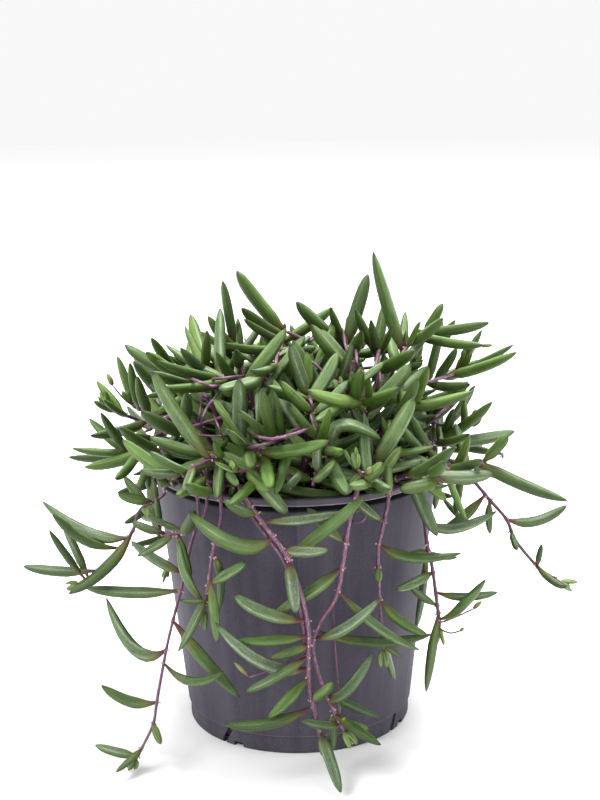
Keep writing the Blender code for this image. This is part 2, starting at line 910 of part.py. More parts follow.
class Plant:
    """Places the stems one after another, then their leaves, all clear of each other."""

    # Where a drawn leaf has no room, its tip shifts along the view and it gets thinner, then
    # its tip moves aside by some pixels
    SHIFTS = (0.0, 4.0, -4.0, 8.0, -8.0, 12.0, -12.0, 17.0, -17.0)
    WIDTHS = (1.0, 0.86, 0.74, 0.64)
    ASIDES = ((0, 0), (6, -4), (-6, 4), (4, 8), (-4, -8), (12, -8), (-12, 8))

    def __init__(self):
        self.space = Space()
        self.stems = []
        self.roots = []
        self.draw = random.Random(SEED)

    def root_below(self, point):
        """A free place on the soil under a point, drawn in towards the middle."""
        wish = Vector((point.x, point.y, 0.0)) * ROOT_DRAW
        free = []
        for place in ROOT_PLACES:
            if all((place - other).length > ROOT_SPACING for other in self.roots):
                free.append(((place - wish).length, place.x, place.y))
        nearest = min(free)
        self.roots.append(Vector((nearest[1], nearest[2], 0.0)))
        return self.roots[-1]

    def stem_clear(self, name, route):
        """Whether a stem's route beyond its hole is clear of the pot and of other stems."""
        out_of_soil = SOIL_MIDDLE_HEIGHT + STEM_RADIUS * 2.0
        for point in route:
            if point.z > out_of_soil or math.hypot(point.x, point.y) > RIM_RADIUS:
                if not clear_of_pot(point, STEM_RADIUS):
                    return False
            if not self.space.room(name, "stem", point, STEM_RADIUS, OWN_CLEARANCE):
                return False
        return True

    def nudged(self, point, spread):
        """A point moved by up to the spread, and twice that along the view."""
        nudge = Vector([self.draw.uniform(-spread, spread) for _ in range(3)])
        nudge.y *= 2.0
        return point + nudge

    def add_stem(self, name, points):
        """Adds a stem, with its free points nudged until it clears the others."""
        root = self.root_below(points[0])
        foot = root + Vector((0.0, 0.0, SOIL_EDGE_HEIGHT - ROOT_DEPTH))
        rise = root + Vector((0.0, 0.0, SOIL_MIDDLE_HEIGHT + ROOT_RISE))
        moved = list(points)
        for trial in range(STEM_TRIES):
            if self.stem_clear(name, smooth_route([foot, rise, *moved], TEST_STEP)):
                break
            spread = NUDGE + NUDGE_GROWTH * trial
            moved = [self.nudged(point, spread) for point in points]
        else:
            raise ValueError(f"no room for {name}")
        stem = Stem(name, smooth_route([foot, rise, *moved], STEM_STEP))
        for point in smooth_route([foot, rise, *moved], TEST_STEP):
            self.space.add(name, "stem", point, STEM_RADIUS)
        self.stems.append(stem)
        return stem

    def leaf_clear(self, stem, leaf, crossing=False):
        """Whether a leaf is clear of all else, and of its own stem's leaves unless crossing."""
        for share, centre, radius in leaf.balls():
            own = None if crossing or share < OWN_ROOT_SHARE else OWN_CLEARANCE
            if share > OWN_ROOT_SHARE / 2.0 and not clear_of_pot(centre, radius):
                return False
            if not self.space.room(stem.name, len(stem.leaves), centre, radius, own):
                return False
        return True

    def keep_leaf(self, stem, leaf):
        """Gives a stem a leaf and fills its space."""
        for _, centre, radius in leaf.balls():
            self.space.add(stem.name, len(stem.leaves), centre, radius)
        stem.leaves.append(leaf)

    def bend_of(self, base, tip):
        """The bend of a leaf that leaves its stem flat and turns up to the light."""
        run = tip - base
        up = Vector((0.0, 0.0, 1.0))
        sideways = up - run * (up.dot(run) / run.length_squared)
        return (base + tip) * 0.5 - sideways * (run.length * LEAF_BOW)

    def drawn_leaf(self, stem, row):
        """Adds a leaf that is drawn over the front view, leaning to where it is clear."""
        base = stem.at(stem.free_share(stem.nearest(row[0], row[1])))[0]
        tries = product(self.ASIDES, (False, True), self.WIDTHS, self.SHIFTS)
        for aside, crossing, width, shift in tries:
            tip = (row[2] + aside[0], row[3] + aside[1])
            leaf = self.leaning_leaf(base, tip, row, width, shift * MM)
            if self.leaf_clear(stem, leaf, crossing):
                self.keep_leaf(stem, leaf)
                return
        raise ValueError(f"no room for the leaf {row} of {stem.name}")

    def leaning_leaf(self, base, pixel, row, width, shift):
        """A drawn leaf whose tip shows at a pixel and is shifted along the view by a length."""
        if len(row) > 5:
            towards = -base.y + row[5] * MM
        else:
            towards = -dome_point(*pixel, 1.0).y
        tip = view_point(*pixel, towards + shift)
        if (tip - base).length > LEAF_MAX_LENGTH:
            tip = view_point(*pixel, -base.y + (towards + base.y) * LONG_LEAF_LEAN + shift)
        bend = self.bend_of(base, tip)
        if len(row) > 6:
            middle = view_point(row[6], row[7], -(base.y + tip.y) / 2.0)
            bend = middle + (middle - (base + tip) * 0.5) * DRAWN_BEND
        return Leaf(base, bend, tip, row[4] * MM * width / 2.0)

    def grown_leaf(self, stem, share, length, radius, rise, turn, forward):
        """Adds a leaf by rule, at an angle round its stem, unless no try has room for it.

        Rise and forward say how far it turns up and along the stem, for each unit outward.
        """
        base, along = stem.at(stem.free_share(share))
        side = along.cross(ROUND_FROM).normalized()
        over = side.cross(along)
        for trial in range(GROWN_TRIES):
            angle = turn + trial * TURN_STEP * (-1) ** trial
            out = side * math.cos(angle) + over * math.sin(angle)
            lift = Vector((0.0, 0.0, rise + TURN_LIFT * trial))
            aim = (out + along * forward + lift).normalized()
            tip = base + aim * (length * (1.0 - TURN_TRIM * trial))
            leaf = Leaf(base, self.bend_of(base, tip), tip, radius)
            if beyond_dome(tip, DOME_LIMIT) or over_wall(tip):
                continue
            if self.leaf_clear(stem, leaf):
                self.keep_leaf(stem, leaf)
                return

    def drawn_stem(self, spray, trailing):
        """Adds a stem that is drawn over the front view."""
        points = []
        for row in spray.route:
            if len(row) == 3:
                points.append(view_point(row[0], row[1], row[2] * MM))
            else:
                points.append(dome_point(row[0], row[1], STEM_DOME))
        if trailing:
            level = Vector((points[0].x, points[0].y, 0.0)).normalized()
            rim = level * (RIM_RADIUS + OVER_RIM.x)
            rim.z = POT_HEIGHT + OVER_RIM.z
            points.insert(0, rim)
        return self.add_stem(spray.name, points)

    def fan_stem(self, name, angle, way):
        """A stem of the mound's back and middle: out along the inside of the dome."""
        tilt = self.draw.uniform(-FAN_TILT, FAN_TILT)
        points = []
        for k, (height_share, share) in enumerate(way):
            points.append(on_dome(angle + tilt * k, height_share, share))
        return self.add_stem(name, points)

    def hanging_stem(self, name, angle):
        """A stem of the back or side that trails over the rim and hangs down."""
        out = outward(angle)
        across = outward(angle + 90.0)
        drop = self.draw.uniform(*(SHORT_DROPS if angle in SHORT_TRAILS else LONG_DROPS)) * MM
        sway = self.draw.uniform(-HANG_SWAY, HANG_SWAY) * MM
        points = [out * (RIM_RADIUS + OVER_RIM.x)]
        points[0].z = POT_HEIGHT + OVER_RIM.z
        for beyond, fall, aside in HANG_WAY:
            point = out * (RIM_RADIUS + beyond * MM) + across * (sway * aside)
            point.z = POT_HEIGHT - drop * fall
            points.append(point)
        return self.add_stem(name, points)

    def grow(self):
        """Places the drawn stems and leaves, then the stems and leaves that go by rule."""
        trailing = [(spray, self.drawn_stem(spray, True)) for spray in TRAILING_SPRAYS]
        mound = [(spray, self.drawn_stem(spray, False)) for spray in MOUND_SPRAYS]
        for spray, stem in trailing + mound:
            for row in spray.leaves:
                self.drawn_leaf(stem, row)
        fans = []
        for name, angles, way in (("low", LOW_FAN, LOW_WAY), ("high", HIGH_FAN, HIGH_WAY)):
            for k, angle in enumerate(angles):
                fans.append(self.fan_stem(f"stem_{name}_{k + 1:02d}", angle, way))
        hangers = [self.hanging_stem(f"stem_hang_{k + 1:02d}", angle) for k, angle in enumerate(TRAIL_FAN)]
        for stem in fans:
            self.fill(stem, FAN_LEAVES, FAN_FILL)
        for stem in hangers:
            self.fill(stem, TRAIL_LEAVES, HANG_FILL)
        for spray, stem in trailing + mound:
            self.fill(stem, spray.fill, DRAWN_FILL)
        for stem in [pair[1] for pair in mound] + fans:
            self.low_leaves(stem)

    def low_leaves(self, stem):
        """Adds leaves that reach out flat from a stem's lower part, over the soil and rim."""
        for share in LOW_SHARES:
            base, along = stem.at(share)
            side = along.cross(ROUND_FROM).normalized()
            out = Vector((base.x, base.y, 0.0))
            turn = math.atan2(out.dot(side.cross(along)), out.dot(side))
            turn += self.draw.uniform(-LOW_LEAN, LOW_LEAN)
            length = self.draw.uniform(*FULL_LENGTHS) * MM
            radius = self.draw.uniform(*FULL_RADII) * MM
            self.grown_leaf(stem, share, length, radius, LOW_RISE, turn, LOW_FORWARD)

    def fill(self, stem, count, way):
        """Adds leaves by rule along a stem, the last of a full set small and close to its tip."""
        start, rise, forward = way
        turn = self.draw.uniform(0.0, math.tau)
        for k in range(count):
            young = k >= count - YOUNG_LEAVES and count > YOUNG_LEAVES
            length = self.draw.uniform(*(YOUNG_LENGTHS if young else FULL_LENGTHS)) * MM
            radius = self.draw.uniform(*(YOUNG_RADII if young else FULL_RADII)) * MM
            share = start + (1.0 - start) * (k + 1) / count
            self.grown_leaf(stem, share, length, radius, rise, turn, forward)
            turn += NEXT_TURN


def clear_scene():
    """Removes every object that the new file starts with."""
    for item in list(bpy.data.objects):
        bpy.data.objects.remove(item, do_unlink=True)


def new_collection(name):
    """Adds a collection to the scene."""
    collection = bpy.data.collections.new(name)
    bpy.context.scene.collection.children.link(collection)
    return collection


def material(name, colour, roughness):
    """A plain material."""
    finish = bpy.data.materials.new(name)
    finish.use_nodes = True
    shader = finish.node_tree.nodes["Principled BSDF"]
    shader.inputs["Base Color"].default_value = colour
    shader.inputs["Roughness"].default_value = roughness
    shader.inputs["Metallic"].default_value = 0.0
    return finish


def turned(name, profile, sides, collection):
    """A solid turned about the z axis from a profile of (radius, height) points."""
    mesh = bpy.data.meshes.new(name)
    points = [(radius, 0.0, height) for radius, height in profile]
    mesh.from_pydata(points, [(k, k + 1) for k in range(len(points) - 1)], [])
    body = bpy.data.objects.new(name, mesh)
    collection.objects.link(body)
    screw = body.modifiers.new("turn", "SCREW")
    screw.steps = sides
    screw.render_steps = sides
    screw.use_merge_vertices = True
    screw.merge_threshold = 0.00001
    return apply_modifiers(body)


def apply_modifiers(body):
    """Makes the evaluated shape of an object its own mesh."""
    bpy.context.view_layer.update()
    shape = bpy.data.meshes.new_from_object(body.evaluated_get(bpy.context.evaluated_depsgraph_get()))
    body.modifiers.clear()
    body.data = shape
    return body


def boolean(body, others, operation, solver="EXACT"):
    """Cuts or joins a body with all the objects of a collection, which are then removed."""
    change = body.modifiers.new(operation.lower(), "BOOLEAN")
    change.operation = operation
    change.operand_type = "COLLECTION"
    change.collection = others
    change.solver = solver
    apply_modifiers(body)
    for item in list(others.objects):
        bpy.data.objects.remove(item, do_unlink=True)
    bpy.data.collections.remove(others)
    return body


def box_cutter(name, size, place, angle, collection):
    """A box whose long side points out from the pot's axis, at an angle from the front."""
    mesh = bpy.data.meshes.new(name)
    shape = bmesh.new()
    bmesh.ops.create_cube(shape, size=1.0)
    bmesh.ops.scale(shape, vec=size, verts=shape.verts)
    bmesh.ops.translate(shape, vec=place, verts=shape.verts)
    shape.to_mesh(mesh)
    shape.free()
    box = bpy.data.objects.new(name, mesh)
    box.rotation_euler.z = math.radians(angle)
    hide_cutter(box, collection)


def pin_cutter(name, radius, low, high, place, sides, collection):
    """An upright round cutter between two heights."""
    mesh = bpy.data.meshes.new(name)
    shape = bmesh.new()
    bmesh.ops.create_cone(
        shape, cap_ends=True, segments=sides, radius1=radius, radius2=radius, depth=high - low
    )
    shape.to_mesh(mesh)
    shape.free()
    pin = bpy.data.objects.new(name, mesh)
    pin.location = (place.x, place.y, (low + high) / 2.0)
    hide_cutter(pin, collection)


def hide_cutter(item, collection):
    """Keeps a cutter out of renders and shows it as wires."""
    item.hide_render = True
    item.display_type = "WIRE"
    collection.objects.link(item)


def make_pot(collection):
    """The pot: a thin tapered shell with a thin lip, a stepped foot, slots and drain holes."""
    profile = (
        (0.0, FLOOR),
        (BASE_RADIUS - WALL, FLOOR),
        (INSIDE_TOP, LIP_LOW),
        (INSIDE_TOP, POT_HEIGHT),
        (RIM_RADIUS - EDGE_ROUND, POT_HEIGHT),
        (RIM_RADIUS, POT_HEIGHT - EDGE_ROUND),
        (RIM_RADIUS, LIP_LOW),
        (WALL_TOP, LIP_LOW),
        (BASE_RADIUS + FOOT_STEP, FOOT_HEIGHT),
        (BASE_RADIUS, FOOT_HEIGHT),
        (BASE_RADIUS - EDGE_ROUND / 2.0, EDGE_ROUND),
        (BASE_RADIUS - EDGE_ROUND * 1.5, 0.0),
        (0.0, 0.0),
    )
    pot = turned("pot", profile, POT_SIDES, collection)
    slots = new_collection("pot cutters")
    height = FOOT_HEIGHT - SLOT_BOTTOM
    for angle in SLOT_ANGLES:
        place = (0.0, -BASE_RADIUS, SLOT_BOTTOM + height / 2.0)
        box_cutter("slot", (SLOT_WIDTH, SLOT_REACH, height), place, angle, slots)
        size = (NOTCH_WIDTH, SLOT_REACH, NOTCH_HEIGHT * 2.0)
        box_cutter("notch", size, (0.0, -BASE_RADIUS, 0.0), angle + NOTCH_TURN, slots)
    for k in range(DRAIN_HOLES):
        place = outward(90.0 + k * 360.0 / DRAIN_HOLES) * DRAIN_RING
        pin_cutter("drain", DRAIN_RADIUS, -FLOOR, FLOOR * 2.0, place, DRAIN_SIDES, slots)
    boolean(pot, slots, "DIFFERENCE")
    finish_body(pot, material("pot plastic", POT_GREY, 0.45))
    return pot


def make_soil(collection, roots):
    """The soil: it fills the pot to a little under the rim, with a hole for each stem."""
    edge = inner_radius(SOIL_EDGE_HEIGHT) - SOIL_GAP
    low = inner_radius(FLOOR) - SOIL_GAP
    profile = (
        (0.0, SOIL_MIDDLE_HEIGHT),
        (edge * SOIL_FLAT_SHARE, SOIL_MIDDLE_HEIGHT),
        (edge, SOIL_EDGE_HEIGHT),
        (low, FLOOR + EDGE_ROUND * 2.0),
        (low - EDGE_ROUND * 2.0, FLOOR + GAP),
        (0.0, FLOOR + GAP),
    )
    soil = turned("soil", profile, SOIL_SIDES, collection)
    holes = new_collection("soil cutters")
    radius = (STEM_RADIUS + GAP) / math.cos(math.pi / HOLE_SIDES)
    low = SOIL_EDGE_HEIGHT - ROOT_DEPTH - GAP
    high = SOIL_MIDDLE_HEIGHT + ROOT_RISE
    for root in roots:
        pin_cutter("root hole", radius, low, high, root, HOLE_SIDES, holes)
    boolean(soil, holes, "DIFFERENCE")
    finish_body(soil, material("soil", SOIL_BROWN, 0.95))
    return soil


def finish_body(body, finish):
    """Gives a body its material, outward faces and smooth shading with crisp edges."""
    shape = bmesh.new()
    shape.from_mesh(body.data)
    bmesh.ops.recalc_face_normals(shape, faces=shape.faces)
    shape.to_mesh(body.data)
    shape.free()
    body.data.materials.clear()
    body.data.materials.append(finish)
    body.data.shade_smooth()
    body.data.set_sharp_from_angle(angle=math.radians(SHARP_EDGE))


def leaf_object(leaf, collection):
    """A leaf: a coarse ball stretched along its curve, pointed at both ends."""
    bow = (leaf.bend - (leaf.base + leaf.tip) * 0.5).length
    long = (leaf.tip - leaf.base).length > LONG_LEAF
    rings = LONG_LEAF_RINGS if long or bow > CURVED_LEAF_BOW else SHORT_LEAF_RINGS
    last = len(rings) - 1
    shape = bmesh.new()
    bmesh.ops.create_uvsphere(shape, u_segments=LEAF_SIDES, v_segments=last, radius=1.0)
    # The square section has the mean width of the round leaf
    outline = math.pi / (LEAF_SIDES * math.sin(math.pi / LEAF_SIDES))
    # One direction for all the rings, so they don't turn against each other
    across = (leaf.tip - leaf.base).orthogonal()
    for vertex in shape.verts:
        order = round(math.acos(max(-1.0, min(1.0, -vertex.co.z))) / math.pi * last)
        share = rings[order]
        along = leaf.slope(share)
        over = along.cross(across).normalized()
        side = over.cross(along)
        size = leaf.radius * fullness(share) * outline if 0 < order < last else 0.0
        turn = math.atan2(vertex.co.y, vertex.co.x)
        vertex.co = leaf.point(share) + (side * math.cos(turn) + over * math.sin(turn)) * size
    mesh = bpy.data.meshes.new("leaf")
    shape.to_mesh(mesh)
    shape.free()
    item = bpy.data.objects.new("leaf", mesh)
    collection.objects.link(item)
    return item


def stem_object(stem, collection):
    """A stem: a thin tube along its route, made into a closed mesh."""
    curve = bpy.data.curves.new(stem.name, "CURVE")
    curve.dimensions = "3D"
    curve.bevel_depth = 1.0
    curve.bevel_resolution = 0
    curve.use_fill_caps = True
    spline = curve.splines.new("POLY")
    spline.points.add(len(stem.route) - 1)
    for k, place in enumerate(stem.route):
        spline.points[k].co = (*place, 1.0)
        spline.points[k].radius = stem.radius(k / (len(stem.route) - 1))
    tube = bpy.data.objects.new(stem.name + " tube", curve)
    collection.objects.link(tube)
    bpy.context.view_layer.update()
    mesh = bpy.data.meshes.new_from_object(tube.evaluated_get(bpy.context.evaluated_depsgraph_get()))
    bpy.data.objects.remove(tube, do_unlink=True)
    shape = bmesh.new()
    shape.from_mesh(mesh)
    bmesh.ops.remove_doubles(shape, verts=shape.verts, dist=0.00001)
    bmesh.ops.recalc_face_normals(shape, faces=shape.faces)
    shape.to_mesh(mesh)
    shape.free()
    body = bpy.data.objects.new(stem.name, mesh)
    collection.objects.link(body)
    return body


def make_stem(stem, collection):
    """A stem with its leaves joined on in one union."""
    body = stem_object(stem, collection)
    leaves = new_collection(stem.name + " leaves")
    for leaf in stem.leaves:
        leaf_object(leaf, leaves)
    # Where leaves of one stem brush, the exact solver leaves edges with four faces
    boolean(body, leaves, "UNION", "MANIFOLD")
    finish_body(body, bpy.data.materials["leaf green"])
    return body


def main():
    """Grows the plant and builds every piece."""
    clear_scene()
    plant = Plant()
    plant.grow()
    collection = new_collection("potted trailing succulent")
    material("leaf green", GREEN, 0.42)
    make_pot(collection)
    make_soil(collection, plant.roots)
    for stem in plant.stems:
        make_stem(stem, collection)


if __name__ == "__main__":
    main()
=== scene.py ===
"""Visual model of a trailing succulent in a plastic nursery pot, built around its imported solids.

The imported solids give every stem, the pot and the soil their places and sizes. This script grows the
plant again by the rule that placed those solids, so each fine stem stands where its solid does, and
then adds what is too small for solids: young leaves, buds, bracts and crumbs of soil.

Sizes are in metres and +Z is up. The viewer of the front stands on the -Y side.
"""

from __future__ import annotations
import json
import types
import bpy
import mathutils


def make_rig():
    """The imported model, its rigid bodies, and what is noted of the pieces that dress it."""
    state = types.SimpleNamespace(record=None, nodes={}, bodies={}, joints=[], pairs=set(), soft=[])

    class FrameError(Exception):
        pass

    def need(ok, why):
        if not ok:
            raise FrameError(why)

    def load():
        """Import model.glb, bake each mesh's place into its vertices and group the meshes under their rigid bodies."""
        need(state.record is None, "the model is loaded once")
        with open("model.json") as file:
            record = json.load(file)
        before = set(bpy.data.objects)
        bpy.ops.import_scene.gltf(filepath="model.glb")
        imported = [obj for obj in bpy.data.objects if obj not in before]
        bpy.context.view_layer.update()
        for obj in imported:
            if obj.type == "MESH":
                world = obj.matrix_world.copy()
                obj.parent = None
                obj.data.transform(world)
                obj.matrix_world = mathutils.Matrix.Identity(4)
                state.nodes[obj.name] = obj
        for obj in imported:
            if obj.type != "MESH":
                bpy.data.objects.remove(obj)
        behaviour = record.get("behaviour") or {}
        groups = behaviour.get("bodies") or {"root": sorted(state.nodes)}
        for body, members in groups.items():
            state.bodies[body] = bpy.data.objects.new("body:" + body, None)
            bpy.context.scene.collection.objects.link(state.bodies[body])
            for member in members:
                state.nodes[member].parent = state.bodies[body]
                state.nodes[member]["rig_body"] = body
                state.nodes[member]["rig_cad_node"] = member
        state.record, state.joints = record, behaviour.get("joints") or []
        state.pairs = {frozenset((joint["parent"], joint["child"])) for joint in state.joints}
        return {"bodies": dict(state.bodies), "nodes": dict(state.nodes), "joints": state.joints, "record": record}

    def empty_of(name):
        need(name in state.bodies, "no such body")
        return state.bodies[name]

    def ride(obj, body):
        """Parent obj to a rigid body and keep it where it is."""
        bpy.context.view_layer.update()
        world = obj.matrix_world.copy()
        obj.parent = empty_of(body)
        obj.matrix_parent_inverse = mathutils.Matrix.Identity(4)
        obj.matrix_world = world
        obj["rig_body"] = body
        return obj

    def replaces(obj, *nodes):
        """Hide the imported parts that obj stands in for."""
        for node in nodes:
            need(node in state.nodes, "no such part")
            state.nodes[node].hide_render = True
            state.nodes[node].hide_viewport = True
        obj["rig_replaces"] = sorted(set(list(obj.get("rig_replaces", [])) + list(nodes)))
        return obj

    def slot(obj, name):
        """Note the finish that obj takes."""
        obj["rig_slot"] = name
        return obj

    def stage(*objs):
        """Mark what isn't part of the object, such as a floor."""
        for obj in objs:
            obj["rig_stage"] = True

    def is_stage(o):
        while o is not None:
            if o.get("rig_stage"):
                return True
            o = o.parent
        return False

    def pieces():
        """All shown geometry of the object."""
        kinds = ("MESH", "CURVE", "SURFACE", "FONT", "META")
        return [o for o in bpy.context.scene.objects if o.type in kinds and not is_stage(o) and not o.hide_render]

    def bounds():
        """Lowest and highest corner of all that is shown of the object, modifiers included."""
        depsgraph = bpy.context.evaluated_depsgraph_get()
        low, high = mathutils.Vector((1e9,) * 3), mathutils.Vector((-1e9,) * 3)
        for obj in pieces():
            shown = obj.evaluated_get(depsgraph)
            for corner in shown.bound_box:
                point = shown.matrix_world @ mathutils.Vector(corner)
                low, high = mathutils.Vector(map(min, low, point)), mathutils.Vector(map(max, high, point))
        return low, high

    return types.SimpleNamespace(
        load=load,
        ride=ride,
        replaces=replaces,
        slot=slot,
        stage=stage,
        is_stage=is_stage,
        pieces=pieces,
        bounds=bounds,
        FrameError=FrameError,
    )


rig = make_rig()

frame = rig.load()
cad_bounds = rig.bounds()

import json
import logging
import math
import random
from collections.abc import Callable, Iterable, Iterator, Sequence
from dataclasses import dataclass, field
from enum import Enum
from itertools import product

import bmesh
import bpy
from mathutils import Matrix, Vector, noise

log = logging.getLogger("potted plant")

MM = 0.001
UP = Vector((0.0, 0.0, 1.0))
SIZE_FILE = "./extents.json"
ON_AXIS = 1e-6

# Pixels from the top of the front view. Buds and shoots, or close leaves, that are drawn further
# down grow from a trailing stem
TRAILING_BELOW = 560.0
CLOSE_TRAILING_BELOW = 510.0

Row = tuple[float, ...]
Rows = tuple[Row, ...]
Span = tuple[float, float]
Colour = tuple[float, float, float]
Mesh = bpy.types.Mesh
Object = bpy.types.Object
Material = bpy.types.Material


def held(value: float) -> float:
    """A value held between 0 and 1."""
    return min(max(value, 0.0), 1.0)


def about(side: Vector, over: Vector, turn: float) -> Vector:
    """The direction that is turned by an angle from one direction towards another."""
    return side * math.cos(turn) + over * math.sin(turn)


def level_part(place: Vector) -> Vector:
    """The level direction from the pot's axis to a place."""
    return Vector((place.x, place.y, 0.0)).normalized()


def outward(angle: float) -> Vector:
    """The level direction at an angle in degrees from the front, counted to the right."""
    turn = math.radians(angle)
    return Vector((math.sin(turn), -math.cos(turn), 0.0))


def curve(start: Vector, bend: Vector, end: Vector, share: float) -> Vector:
    """The point at a share of the curve that sets out towards a bend."""
    rest = 1.0 - share
    return start * (rest * rest) + bend * (2.0 * rest * share) + end * (share * share)


def add_object(name: str, data: bpy.types.ID) -> Object:
    """Adds a mesh, lamp or camera to the scene.

    Args:
        name: Its name.
        data: Its mesh, lamp or camera data.

    Returns:
        The new object.
    """
    added = bpy.data.objects.new(name, data)
    bpy.context.scene.collection.objects.link(added)
    return added


@dataclass(frozen=True)
class Spray:
    """A leafy stem drawn over the front view.

    Each route point is (across, down) in pixels, on the inner dome, or (across, down, towards)
    with its distance in mm in front of the pot's axis. Each leaf is (base across, base down,
    tip across, tip down, width in mm), then optionally how many mm its tip leans towards the
    viewer and a pixel that it bends by.
    """

    name: str
    fill: int
    route: Rows
    leaves: Rows


